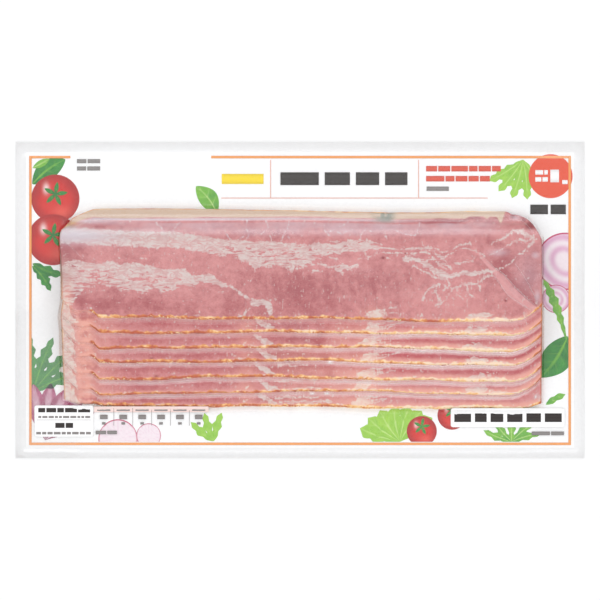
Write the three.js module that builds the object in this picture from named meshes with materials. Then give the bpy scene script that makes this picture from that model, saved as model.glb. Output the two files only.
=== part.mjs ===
// A flat vacuum pack of sliced bacon, lying on its back with its window up.
// Seven long slices are shingled on a printed backing web. Each slice starts one pitch lower than
// the slice above it, so the stack climbs from its top edge to a crest and then goes down in steps.
// A clear film is drawn tight over the slices and sealed to the web all round.
// Millimetres. +X runs along the slices to the right, +Y towards the rind side, +Z out of the window.
// The origin is under the middle of the pack, on the surface that it lies on.

import * as THREE from "three";

const PACK_WIDTH = 250;
const PACK_HEIGHT = 139;
const WEB_THICKNESS = 0.5;
const FILM_THICKNESS = 0.3;
const CONTACT_GAP = 0.3; // between pieces that touch

const SLICE_COUNT = 7;
const SLICE_THICKNESS = 1.7;
const SLICE_GAP = 0.2; // between one slice and the next in the stack
const SHINGLE_PITCH = 6.5; // how much lower each slice starts than the one above it
const SLICE_LEFT = -104.8;
const SLICE_RIGHT = 106.1;
const RIND_EDGE_Y = 39.3; // rind edge of the top slice
const FRONT_EDGE_Y = -8.1; // front edge of the top slice

const WALL_RUN = 2.0; // how far the film leans out as it drops from a slice's edge
const STEP_RUN = 1.5; // how far it leans out over one step of the shingle
const FILM_REACH = 0.35; // how far it passes a slice's edge before it drops

const LAYER_RISE = SLICE_THICKNESS + SLICE_GAP;
const STACK_FLOOR = WEB_THICKNESS + CONTACT_GAP; // under the lowest slice, and under the film's seal
const CREST_Y = RIND_EDGE_Y - (SLICE_COUNT - 1) * SHINGLE_PITCH; // where the lowest slice starts

// How far in from a slice's end a corner begins, how far it turns in, and how round it is.
const RIND_LEFT_CORNER = { run: 14.5, rise: 9.5, power: 1.15 };
const RIND_RIGHT_CORNER = { run: 17, rise: 13, power: 2.3 };
const RIND_HIDDEN_CORNER = { run: 16, rise: 8, power: 2.2 }; // on the slices under the top one
const FRONT_LEFT_CORNER = { run: 6.5, rise: 5.6, power: 1.4 };
const FRONT_RIGHT_CORNER = { run: 15, rise: 7.2, power: 2 };
// The front edge steps back near its left end, where the fat has shrunk.
const FAT_STEP = { rise: 2.9, from: 13, to: 17.5 };

// The long edges wander. A wave has a height, the x that turns it by one radian, and how much
// further it has turned on each next slice.
const FRONT_SAG = { height: 0.55, radian: 40, middle: 8 };
const FRONT_TILT = -0.008;
const FRONT_WAVES = [
  { height: 0.32, radian: 14, shift: 2.4 },
  { height: 0.16, radian: 5.5, shift: 4.1 },
];
const RIND_WAVE = { height: 0.9, radian: -42, hiddenShare: 0.5 };

// Columns across the slices, close together at the rounded ends.
const LEFT_COLUMNS = [0, 1.6, 3.6, 6.5, 10, 13, 15, 17.5];
const RIGHT_COLUMNS = [16, 12, 8.5, 5.5, 3, 1.2, 0];
const MIDDLE_COLUMNS = 11;

const RAMP_ROWS = 2;
const CREST_ROWS = 2;
const SHORTEST_RAMP = 0.5;

const MATERIALS = {
  web: new THREE.MeshStandardMaterial({ color: 0xf7f7f6, roughness: 0.45, metalness: 0 }),
  slice: new THREE.MeshStandardMaterial({ color: 0xcc8e92, roughness: 0.4, metalness: 0 }),
  film: new THREE.MeshStandardMaterial({
    color: 0xffffff,
    roughness: 0.12,
    metalness: 0,
    transparent: true,
    opacity: 0.2,
  }),
};

// The x of every column, from the slices' left end to their right end.
function columnPositions() {
  const left = LEFT_COLUMNS.map((inset) => SLICE_LEFT + inset);
  const right = RIGHT_COLUMNS.map((inset) => SLICE_RIGHT - inset);
  const from = left[left.length - 1];
  const step = (right[0] - from) / (MIDDLE_COLUMNS + 1);
  const middle = Array.from({ length: MIDDLE_COLUMNS }, (_, i) => from + step * (i + 1));
  return [...left, ...middle, ...right];
}

// How far an edge has turned in at this distance from the slice's end.
function cornerTurn(distance, corner) {
  const share = Math.max(0, 1 - distance / corner.run);
  return corner.rise * share ** corner.power;
}

// How far a front edge wanders from its line: a sag that all share, and waves of the slice's own.
function frontWander(x, slice) {
  const shared = FRONT_SAG.height * Math.cos((x - FRONT_SAG.middle) / FRONT_SAG.radian) + FRONT_TILT * x;
  const own = FRONT_WAVES.map(({ height, radian, shift }) => height * Math.sin(x / radian + shift * slice));
  return own.reduce((sum, wave) => sum + wave, shared);
}

// The y of a slice's rind edge. Slice 0 is the top one.
function rindEdge(x, slice) {
  const onTop = slice === 0;
  const leftCorner = onTop ? RIND_LEFT_CORNER : RIND_HIDDEN_CORNER;
  const rightCorner = onTop ? RIND_RIGHT_CORNER : RIND_HIDDEN_CORNER;
  const turn = cornerTurn(x - SLICE_LEFT, leftCorner) + cornerTurn(SLICE_RIGHT - x, rightCorner);
  const share = onTop ? 1 : RIND_WAVE.hiddenShare;
  const wave = share * RIND_WAVE.height * Math.sin(x / RIND_WAVE.radian);
  return RIND_EDGE_Y - slice * SHINGLE_PITCH + wave - turn;
}

// The y of a slice's front edge, which is the one that shows in the shingle.
function frontEdge(x, slice) {
  const fromLeft = x - SLICE_LEFT;
  const turn = cornerTurn(fromLeft, FRONT_LEFT_CORNER) + cornerTurn(SLICE_RIGHT - x, FRONT_RIGHT_CORNER);
  const fatStep = FAT_STEP.rise * (1 - THREE.MathUtils.smoothstep(fromLeft, FAT_STEP.from, FAT_STEP.to));
  return FRONT_EDGE_Y - slice * SHINGLE_PITCH + frontWander(x, slice) + turn + fatStep;
}

// How many layers lie under a slice at this y. It climbs evenly as each lower slice starts.
function layersBelow(y, slice) {
  const started = (RIND_EDGE_Y - y) / SHINGLE_PITCH - slice;
  return THREE.MathUtils.clamp(started, 0, SLICE_COUNT - 1 - slice);
}

function sliceTop(y, slice) {
  return STACK_FLOOR + LAYER_RISE * layersBelow(y, slice) + SLICE_THICKNESS;
}

// A closed solid between two matching grids of points, each a list of columns from left to right,
// whose points run from high y to low y.
function solidBetween(lower, upper) {
  const columns = upper.length;
  const rows = upper[0].length;
  const positions = [...upper.flat(), ...lower.flat()].flatMap((point) => point.toArray());
  const upperAt = (i, j) => i * rows + j;
  const lowerAt = (i, j) => columns * rows + i * rows + j;
  const index = [];
  for (let i = 0; i < columns - 1; i += 1) {
    for (let j = 0; j < rows - 1; j += 1) {
      index.push(upperAt(i, j), upperAt(i, j + 1), upperAt(i + 1, j + 1));
      index.push(upperAt(i, j), upperAt(i + 1, j + 1), upperAt(i + 1, j));
      index.push(lowerAt(i, j), lowerAt(i + 1, j + 1), lowerAt(i, j + 1));
      index.push(lowerAt(i, j), lowerAt(i + 1, j), lowerAt(i + 1, j + 1));
    }
  }
  const rim = [];
  for (let j = 0; j < rows - 1; j += 1) rim.push([0, j]);
  for (let i = 0; i < columns - 1; i += 1) rim.push([i, rows - 1]);
  for (let j = rows - 1; j > 0; j -= 1) rim.push([columns - 1, j]);
  for (let i = columns - 1; i > 0; i -= 1) rim.push([i, 0]);
  rim.forEach(([i, j], n) => {
    const [iNext, jNext] = rim[(n + 1) % rim.length];
    index.push(upperAt(i, j), lowerAt(i, j), lowerAt(iNext, jNext));
    index.push(upperAt(i, j), lowerAt(iNext, jNext), upperAt(iNext, jNext));
  });
  const geometry = new THREE.BufferGeometry();
  geometry.setAttribute("position", new THREE.Float32BufferAttribute(positions, 3));
  geometry.setIndex(index);
  geometry.computeVertexNormals();
  return geometry;
}

function between(from, to, steps) {
  return Array.from({ length: steps + 1 }, (_, n) => from + ((to - from) * n) / steps);
}

// One slice: a long thin sheet of meat with round corners, bent over the slices below it.
function sliceMesh(slice, columns) {
  const upper = columns.map((x) => {
    const rind = rindEdge(x, slice);
    const crest = Math.min(CREST_Y, rind - SHORTEST_RAMP);
    const ramp = between(rind, crest, RAMP_ROWS);
    const flat = between(crest, frontEdge(x, slice), CREST_ROWS).slice(1);
    return [...ramp, ...flat].map((y) => new THREE.Vector3(x, y, sliceTop(y, slice)));
  });
  const down = new THREE.Vector3(0, 0, -SLICE_THICKNESS);
  const lower = upper.map((column) => column.map((point) => point.clone().add(down)));
  const mesh = new THREE.Mesh(solidBetween(lower, upper), MATERIALS.slice);
  mesh.name = `bacon_slice_${slice + 1}`;
  return mesh;
}

// One column of the film, down the pack, at x. edgeX is where it reads the slices' edges, push moves
// the outer face out from the inner one, and a column that isn't raised lies flat in the seal.
function filmColumn({ x, edgeX, push, raised }) {
  const rind = rindEdge(edgeX, 0);
  const flange = STACK_FLOOR + push;
  const over = (y, slice) => sliceTop(y, slice) + CONTACT_GAP + push;
  const points = [
    [PACK_HEIGHT / 2, flange],
    [rind + FILM_REACH + WALL_RUN + push, flange],
    [rind + FILM_REACH + push, over(rind, 0)],
    [(rind + CREST_Y) / 2, over((rind + CREST_Y) / 2, 0)],
    [CREST_Y, over(CREST_Y, 0)],
  ];
  for (let slice = 0; slice < SLICE_COUNT; slice += 1) {
    const front = frontEdge(edgeX, slice) - FILM_REACH - push;
    const isLast = slice === SLICE_COUNT - 1;
    points.push([front, over(front, slice)]);
    points.push([front - STEP_RUN, isLast ? flange : over(front, slice + 1)]);
  }
  points.push([-PACK_HEIGHT / 2, flange]);
  return points.map(([y, z]) => new THREE.Vector3(x, y, raised ? z : flange));
}

// The film: one skin, flat at the seal all round and drawn up over the stack.
function filmMesh(columns) {
  const leftWall = SLICE_LEFT - FILM_REACH;
  const rightWall = SLICE_RIGHT + FILM_REACH;
  const face = (push) => {
    const left = { edgeX: SLICE_LEFT, push };
    const right = { edgeX: SLICE_RIGHT, push };
    return [
      filmColumn({ ...left, x: -PACK_WIDTH / 2, raised: false }),
      filmColumn({ ...left, x: leftWall - WALL_RUN - push, raised: false }),
      filmColumn({ ...left, x: leftWall - push, raised: true }),
      ...columns.map((x) => filmColumn({ x, edgeX: x, push, raised: true })),
      filmColumn({ ...right, x: rightWall + push, raised: true }),
      filmColumn({ ...right, x: rightWall + WALL_RUN + push, raised: false }),
      filmColumn({ ...right, x: PACK_WIDTH / 2, raised: false }),
    ];
  };
  const mesh = new THREE.Mesh(solidBetween(face(0), face(FILM_THICKNESS)), MATERIALS.film);
  mesh.name = "clear_film";
  return mesh;
}

// The backing: a flat printed web of the pack's full size.
function webMesh() {
  const mesh = new THREE.Mesh(
    new THREE.BoxGeometry(PACK_WIDTH, PACK_HEIGHT, WEB_THICKNESS),
    MATERIALS.web,
  );
  mesh.position.z = WEB_THICKNESS / 2;
  mesh.name = "backing_web";
  return mesh;
}

const columns = columnPositions();
const pack = new THREE.Group();
pack.add(webMesh());
for (let slice = 0; slice < SLICE_COUNT; slice += 1) {
  pack.add(sliceMesh(slice, columns));
}
pack.add(filmMesh(columns));

export default pack;
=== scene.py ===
"""Looks of a flat vacuum pack of sliced bacon that lies on its back with its window up.

Every size below is in millimetres, in the pack's own frame: X runs along the slices to the right,
Y towards their rind, Z up out of the window. Only mesh_object and its like turn them to metres.
"""
import logging
import math
from collections.abc import Mapping, Sequence
from dataclasses import dataclass, replace
from enum import Enum
from functools import partial

import bpy
import numpy as np
from bpy.types import Material, Node, NodeSocket, NodeTree, Object
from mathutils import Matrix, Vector


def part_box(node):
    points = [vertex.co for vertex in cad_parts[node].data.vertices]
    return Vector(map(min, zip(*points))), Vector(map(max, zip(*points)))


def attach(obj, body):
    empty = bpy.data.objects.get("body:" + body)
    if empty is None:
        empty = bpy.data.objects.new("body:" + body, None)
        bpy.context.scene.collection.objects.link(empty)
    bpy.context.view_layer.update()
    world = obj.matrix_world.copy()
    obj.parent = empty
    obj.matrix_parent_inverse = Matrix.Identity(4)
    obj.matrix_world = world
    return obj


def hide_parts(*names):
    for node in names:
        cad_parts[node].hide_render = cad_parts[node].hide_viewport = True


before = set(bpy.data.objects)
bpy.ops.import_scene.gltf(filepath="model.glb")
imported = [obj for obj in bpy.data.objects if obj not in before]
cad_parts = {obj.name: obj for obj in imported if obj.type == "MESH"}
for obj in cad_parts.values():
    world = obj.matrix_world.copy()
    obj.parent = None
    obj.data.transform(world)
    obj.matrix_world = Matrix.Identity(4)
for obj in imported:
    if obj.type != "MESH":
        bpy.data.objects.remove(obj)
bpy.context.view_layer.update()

MM = 0.001
BODY = "root"
LOG = logging.getLogger("bacon_pack")

Pair = tuple[float, float]
Points = Sequence[Pair]
Array = np.ndarray
Value = float | Sequence[float] | NodeSocket


def box_mm(node: str) -> tuple[list[float], list[float]]:
    """A solid's lowest and highest corner in millimetres, to a hundredth."""
    low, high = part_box(node)
    return [round(place / MM, 2) for place in low], [round(place / MM, 2) for place in high]


# The sizes that the solids drive: the backing's, and where a slice starts and ends.
WEB_HALF_WIDTH, WEB_HALF_HEIGHT, WEB_THICKNESS = box_mm("backing_web")[1]
SLICE_LEFT, SLICE_RIGHT = (corner[0] for corner in box_mm("bacon_slice_1"))


def smoothstep(value: Array, low: float, high: float) -> Array:
    """Rises smoothly from 0 at low to 1 at high.

    Args:
        value: Where to read the step.
        low: The value at which it leaves 0.
        high: The value at which it reaches 1.

    Returns:
        The step's height at each value.
    """
    share = np.clip((value - low) / (high - low), 0.0, 1.0)
    return share * share * (3.0 - 2.0 * share)


def fade(value: Array, low: float, high: float) -> Array:
    """Falls smoothly from 1 at low to 0 at high."""
    return 1 - smoothstep(value, low, high)


def bell(value: Array, width: float, middle: float = 0.0) -> Array:
    """Rises smoothly to 1 at the middle and is gone about two widths away."""
    return np.exp(-(((value - middle) / width) ** 2))


def mound(x: Array, y: Array, middle: Pair, reach: Pair) -> Array:
    """A round hill that is 1 at its middle and fades away.

    Args:
        x: Where to read it, along X.
        y: Where to read it, along Y.
        middle: The hill's top.
        reach: How far it spreads along X and along Y.

    Returns:
        The hill's height at each point.
    """
    return np.exp(-(((x - middle[0]) / reach[0]) ** 2) - ((y - middle[1]) / reach[1]) ** 2)


def ripple(x: Array, y: Array, size: float, seed: int, stretch: float = 1.0, octaves: int = 2) -> Array:
    """Smooth random heights from about -1 to 1, the same on every run.

    Args:
        x: Where to read them, along X.
        y: Where to read them, along Y.
        size: Width of one bump along Y.
        seed: Picks the pattern.
        stretch: How many times longer a bump is along X.
        octaves: How many finer layers are added, each at half the height.

    Returns:
        The height at each point.
    """
    side = 128
    total = np.zeros(np.broadcast(x, y).shape)
    weight = 1.0
    for octave in range(octaves):
        lattice = np.random.default_rng(seed + octave).uniform(-1.0, 1.0, (side, side))
        across = x / (size * stretch) * 2**octave + 37.3
        along = y / size * 2**octave + 51.7
        i = np.floor(across).astype(int)
        j = np.floor(along).astype(int)
        right = smoothstep(across - i, 0.0, 1.0)
        up = smoothstep(along - j, 0.0, 1.0)
        low = lattice[i % side, j % side] * (1 - right) + lattice[(i + 1) % side, j % side] * right
        j = j + 1
        high = lattice[i % side, j % side] * (1 - right) + lattice[(i + 1) % side, j % side] * right
        total = total + weight * (low * (1 - up) + high * up)
        weight *= 0.5
    return total


def line_height(x: Array, knots: Points) -> Array:
    """The height at x of a line laid through knots from left to right."""
    xs, ys = zip(*knots)
    return np.interp(x, xs, ys)


def line_distance(x: Array, y: Array, points: Points) -> Array:
    """How far each point lies from a line of straight runs.

    Args:
        x: The points' x.
        y: The points' y.
        points: The line's corners, in order.

    Returns:
        The distance to the nearest run.
    """
    nearest = np.full(np.broadcast(x, y).shape, 1e9)
    for (x0, y0), (x1, y1) in zip(points, points[1:]):
        run = np.array((x1 - x0, y1 - y0))
        share = ((x - x0) * run[0] + (y - y0) * run[1]) / max(float(run @ run), 1e-9)
        share = np.clip(share, 0.0, 1.0)
        nearest = np.minimum(nearest, np.hypot(x - x0 - share * run[0], y - y0 - share * run[1]))
    return nearest


def linear(hex_colour: str) -> tuple[float, float, float, float]:
    """Turns an sRGB hex colour, such as "d8c3be", to the linear values that a shader takes.

    Args:
        hex_colour: The colour, such as "d8c3be".

    Returns:
        Red, green, blue and an alpha of 1.
    """
    channels = [int(hex_colour[n : n + 2], 16) / 255 for n in (0, 2, 4)]
    turned = [c / 12.92 if c <= 0.04045 else ((c + 0.055) / 1.055) ** 2.4 for c in channels]
    return (*turned, 1.0)


class Colour(Enum):
    """Colours as sRGB hex, which shaders take as linear values."""

    @property
    def linear(self) -> tuple[float, float, float, float]:
        """The colour's linear values."""
        return linear(self.value)


def add_node(tree: NodeTree, kind: str, inputs: Mapping | None = None, **settings) -> Node:
    """Adds a node with its settings, values and links.

    Args:
        tree: The tree that takes it.
        kind: The node's type name.
        inputs: A value, or a socket to link from, for each input by name or number.
        **settings: The node's own properties.

    Returns:
        The new node.
    """
    node = tree.nodes.new(kind)
    for name, value in settings.items():
        setattr(node, name, value)
    for key, value in (inputs or {}).items():
        if isinstance(value, NodeSocket):
            tree.links.new(value, node.inputs[key])
        else:
            node.inputs[key].default_value = value
    return node


def new_material(name: str) -> tuple[Material, NodeTree, NodeSocket]:
    """Starts a material with the standard shader.

    Args:
        name: The material's name.

    Returns:
        The material, its tree, and Object coordinates for its patterns to read.
    """
    material = bpy.data.materials.new(name)
    material.use_nodes = True
    tree = material.node_tree
    return material, tree, add_node(tree, "ShaderNodeTexCoord").outputs["Object"]


def mesh_object(name: str, points: Array, faces: Sequence, smooth: bool = True) -> Object:
    """Makes a mesh from points in millimetres, at the origin, in metres.

    Args:
        name: The piece's name.
        points: One row of x, y, z for each point.
        faces: The corners of each face, as numbers of points.
        smooth: Whether light runs smoothly over the faces.

    Returns:
        The new object, linked to the scene.
    """
    mesh = bpy.data.meshes.new(name)
    mesh.from_pydata(np.asarray(points, float) * MM, [], faces)
    mesh.validate()
    mesh.update()
    mesh.polygons.foreach_set("use_smooth", np.full(len(mesh.polygons), smooth))
    piece = bpy.data.objects.new(name, mesh)
    bpy.context.scene.collection.objects.link(piece)
    return piece


def put_values(piece: Object, values: Mapping[str, Array]) -> None:
    """Stores one number for each point of a mesh under each name, for its material to read.

    Args:
        piece: The piece.
        values: The numbers by name.
    """
    for name, numbers in values.items():
        store = piece.data.attributes.new(name, "FLOAT", "POINT")
        store.data.foreach_set("value", np.asarray(numbers, np.float32).ravel())


def put_colours(piece: Object, colours: Array) -> None:
    """Stores a linear colour for each point of a mesh, under the name ink."""
    store = piece.data.color_attributes.new("ink", "FLOAT_COLOR", "POINT")
    store.data.foreach_set("color", np.asarray(colours, np.float32).ravel())


def plain_mesh(piece: Object) -> Object:
    """Turns a piece's modifiers into plain mesh and takes them off.

    Args:
        piece: The piece.

    Returns:
        The same piece.
    """
    evaluated = piece.evaluated_get(bpy.context.evaluated_depsgraph_get())
    mesh = bpy.data.meshes.new_from_object(evaluated)
    piece.modifiers.clear()
    piece.data = mesh
    return piece


def grid_faces(columns: int, rows: int, start: int = 0, flip: bool = False) -> list[tuple[int, ...]]:
    """Faces of a grid whose points run down one column after the other.

    Args:
        columns: How many columns it has.
        rows: How many points a column has.
        start: The number of its first point.
        flip: Whether the faces look down.

    Returns:
        Four point numbers for each face.
    """
    i, j = np.meshgrid(np.arange(columns - 1), np.arange(rows - 1), indexing="ij")
    first = (start + i * rows + j).ravel()
    corners = np.stack((first, first + 1, first + rows + 1, first + rows), axis=1)
    return [tuple(face) for face in (corners[:, ::-1] if flip else corners).tolist()]


def closed_sheet(x: Array, y: Array, z: Array, thickness: float) -> tuple[Array, list[tuple[int, ...]]]:
    """Gives a grid of points a lower side and a rim, so that it is a closed thin sheet.

    Args:
        x: The x of each point, one row for each column of the sheet.
        y: The y of each point.
        z: The height of the upper side at each point.
        thickness: How far the lower side lies below the upper one.

    Returns:
        The sheet's points, the upper ones first, and its faces.
    """
    columns, rows = x.shape
    upper = np.stack((x, y, z), axis=2).reshape(-1, 3)
    lower = upper - np.array((0.0, 0.0, thickness))
    count = len(upper)
    faces = grid_faces(columns, rows) + grid_faces(columns, rows, start=count, flip=True)
    rim = list(range(rows - 1))
    rim += [i * rows + rows - 1 for i in range(columns - 1)]
    rim += [(columns - 1) * rows + j for j in range(rows - 1, 0, -1)]
    rim += [i * rows for i in range(columns - 1, 0, -1)]
    for here, there in zip(rim, rim[1:] + rim[:1]):
        faces.append((here, here + count, there + count, there))
    return np.concatenate((upper, lower)), faces


def finish_piece(piece: Object, slot: str, *nodes: str) -> Object:
    """Ties a finished piece to the pack, and hides the solids that it stands for.

    Args:
        piece: The piece, in place.
        slot: Not used.
        *nodes: Names of the solids that it replaces.

    Returns:
        The same piece.
    """
    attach(piece, BODY)
    if nodes:
        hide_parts(*nodes)
    LOG.info("%s: %d faces", piece.name, len(piece.data.polygons))
    return piece


@dataclass(frozen=True)
class Corner:
    """How a slice's edge turns in towards its end: where it begins, how far, and how round."""

    run: float
    rise: float
    power: float

    def turn(self, distance: Array) -> Array:
        """How far the edge has turned in at this distance from the end."""
        return self.rise * np.maximum(0.0, 1.0 - distance / self.run) ** self.power


# The film's outline at the left end, from the front up: y and x.
LEFT_OUTLINE = (
    (-47.0, -104.2), (-44.1, -104.9), (-37.0, -105.1), (-30.9, -105.3), (-22.6, -105.6), (-13.8, -105.6),
    (-7.2, -106.3), (-0.2, -105.2), (11.2, -105.1), (18.2, -105.6), (23.0, -106.0), (27.0, -106.2),
    (29.3, -106.0), (31.4, -105.3), (34.0, -104.8),
)

# How far each slice's front edge sags below its even wave, at SAG_AT along X.
SAG_AT = (-72.7, -42.0, -6.0, 50.0, 67.7, 89.6)
SAGS = (
    (0.2, 0.9, 0.65, 1.3, 0.65, 0.45), (0.45, 0.45, 0.45, 0.2, 0.45, 0.45), (0.5, 1.1, 0.0, 0.45, 0.5, 0.5),
    (0.65, 0.2, -0.2, 0.45, 0.45, 0.65), (1.3, 0.55, 0.65, 1.3, 1.45, 0.9), (1.5, 1.1, 0.0, 0.2, 0.2, 0.0),
    (0.0, 0.2, 0.5, 0.45, 0.2, 0.0),
)


@dataclass(frozen=True)
class Stack:
    """Where the shingled slices lie. Its lines are those of the solids, with finer waves added.

    Slice 0 is the top one.
    """

    count: int = 7
    thickness: float = 1.7
    gap: float = 0.2
    pitch: float = 6.5
    left: float = SLICE_LEFT
    right: float = SLICE_RIGHT
    rind_y: float = 39.3
    front_y: float = -8.1
    floor: float = 0.8
    rind_left: Corner = Corner(14.0, 6.0, 1.05)
    rind_left_tip: Corner = Corner(4.4, 2.9, 1.0)
    rind_right: Corner = Corner(15.5, 11.0, 3.2)
    rind_hidden: Corner = Corner(16.0, 8.0, 2.2)
    front_left: Corner = Corner(7.0, 5.9, 1.15)
    front_right: Corner = Corner(15.0, 7.2, 2.0)
    fat_step: float = 2.9
    fat_step_from: float = 13.0
    fat_step_to: float = 17.5

    def rind_edge(self, x: Array, index: int) -> Array:
        """The y of a slice's rind edge.

        Args:
            x: The points' x.
            index: Which slice, 0 on top.

        Returns:
            The edge's y at each x.
        """
        on_top = index == 0
        from_left, from_right = x - self.left, self.right - x
        if on_top:
            turned = self.rind_left.turn(from_left) + self.rind_left_tip.turn(from_left)
            turned = turned + self.rind_right.turn(from_right) + 1.1 * smoothstep(x, 90.3, 93.6)
        else:
            turned = self.rind_hidden.turn(from_left) + self.rind_hidden.turn(from_right)
        wave = 0.9 * np.sin(-x / 42.0) * (1.0 if on_top else 0.5)
        wave = wave + 0.7 * bell(x, 17.0, 76.0) * on_top
        fine = 0.12 * ripple(x, np.zeros_like(x), 6.0, 11 + index, octaves=3)
        return self.rind_y - index * self.pitch + wave + fine - turned

    def front_edge(self, x: Array, index: int) -> Array:
        """The y of a slice's front edge, which shows in the shingle.

        Args:
            x: The points' x.
            index: Which slice, 0 on top.

        Returns:
            The edge's y at each x.
        """
        from_left = x - self.left
        last = index == self.count - 1
        turned = self.front_left.turn(from_left) * (0.4 if last else 1.0)
        turned = turned + self.front_right.turn(self.right - x) * (0.4 if last else 1.0)
        step = self.fat_step * fade(from_left, self.fat_step_from, self.fat_step_to)
        step = step * (0.25 if last else 1.0)
        shared = 0.55 * np.cos((x - 8.0) / 40.0) - 0.008 * x
        own = 0.32 * np.sin(x / 14.0 + 2.4 * index) + 0.16 * np.sin(x / 5.5 + 4.1 * index)
        fine = 0.16 * ripple(x, np.zeros_like(x), 1.7, 31 + index, octaves=3)
        sag = np.interp(x, SAG_AT, SAGS[index])
        return self.front_y - index * self.pitch + shared + own + fine + turned + step - sag

    def settle(self, x: Array, y: Array, inset: float) -> Array:
        """Moves points so that the left end follows the film's outline.

        Args:
            x: The points' x, as if the end were straight.
            y: The points' y.
            inset: How far inside the outline the end lies.

        Returns:
            Their x on the pack.
        """
        outline = np.interp(y, *zip(*LEFT_OUTLINE))
        share = fade(x - self.left, 0.0, 9.0) * fade(self.left - x, 2.5, 12.0)
        return x + (outline + inset - self.left) * share

    def layers_started(self, y: Array) -> Array:
        """How many lower slices have begun at this y: a stair that softens as the stack thickens.

        Args:
            y: The points' y.

        Returns:
            The number of slices at each y, not whole within a stair's rise.
        """
        even = (self.rind_y - y) / self.pitch
        stair = np.floor(even) + smoothstep(even - np.floor(even), 0.1, 0.9)
        share = np.interp(even, (0.0, 0.8, 1.3, 2.4), (0.7, 0.7, 0.3, 0.0))
        return even + share * (stair - even)

    def top(self, x: Array, y: Array, index: int) -> Array:
        """The height of a slice's upper face.

        Args:
            x: The points' x.
            y: The points' y.
            index: Which slice, 0 on top.

        Returns:
            The height at each point.
        """
        below = np.clip(self.layers_started(y) - index, 0.0, self.count - 1 - index)
        swell = 0.12 * ripple(x, y, 17.0, 5)
        return self.floor + (self.thickness + self.gap) * below + self.thickness + swell


@dataclass(frozen=True)
class Streak:
    """A streak of fat: its width and the line that it follows."""

    width: float
    points: Points


# Lines across the top slice that part rind, lean and fat, from its rind edge down.
RIND_INNER = ((-105.3, 30.6), (-104, 31.4), (-98.2, 34), (-94, 35.6), (-90.6, 36.3), (-65.8, 36), (0, 36.4),
              (43.9, 35.4), (61.4, 35.9), (72.5, 35.6), (74.5, 36.6), (80.5, 36.7), (82, 35.5), (83.5, 36.6),
              (86.5, 36.2), (87.8, 33.9), (89.5, 34))
UPPER_LEAN_END = ((-105.3, 32.2), (-94.3, 31.6), (-87.7, 30.9), (-65.8, 30), (-57, 29.8), (-48.2, 29.2),
                  (-43.9, 28.3), (-37.3, 27), (-24.1, 25.9), (0, 24.8), (13.2, 25.4), (25.4, 26.8),
                  (36.4, 24.3), (48.2, 24.8))
UPPER_FAT_END = ((-105.3, 23), (-102.6, 24.6), (-85.5, 24.1), (-65.8, 22.8), (-52.6, 22.8), (-48.2, 20.6),
                 (-36.8, 19.7), (-32.5, 18.6), (-27.2, 17.8), (-23.2, 16.4), (-20.6, 13.6), (-16.2, 14),
                 (-9.6, 14.7), (-5.3, 13.4), (-3.9, 11.2), (-2.2, 14.3), (0, 15.1), (5, 16.4),
                 (11, 18.8), (20, 20.4), (34, 21.2), (48, 23.4))
LOWER_FAT_START = ((-104.8, 15.6), (-101.8, 17.3), (-98.7, 18.2), (-95.6, 16.9), (-87.3, 16.2), (-83.3, 17.1),
                   (-79.8, 15.6), (-71.1, 16.4), (-60.1, 13.6), (-50.4, 13.8), (-47.4, 10.9), (-38.2, 11.2),
                   (-36.4, 8.7), (-31.6, 6.8))
LOWER_FAT_END = ((-105.3, -5.5), (-102.6, -4.6), (-100, -2.0), (-96.9, 1.4), (-94.7, 4.3), (-92.1, 6.0),
                 (-89.3, 7.2), (-82.9, 5.9), (-78.9, 4), (-65.8, 3.3), (-58.3, 3.3), (-49.1, 5.5),
                 (-43.9, 6.8), (-31.6, 5.5))

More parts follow.
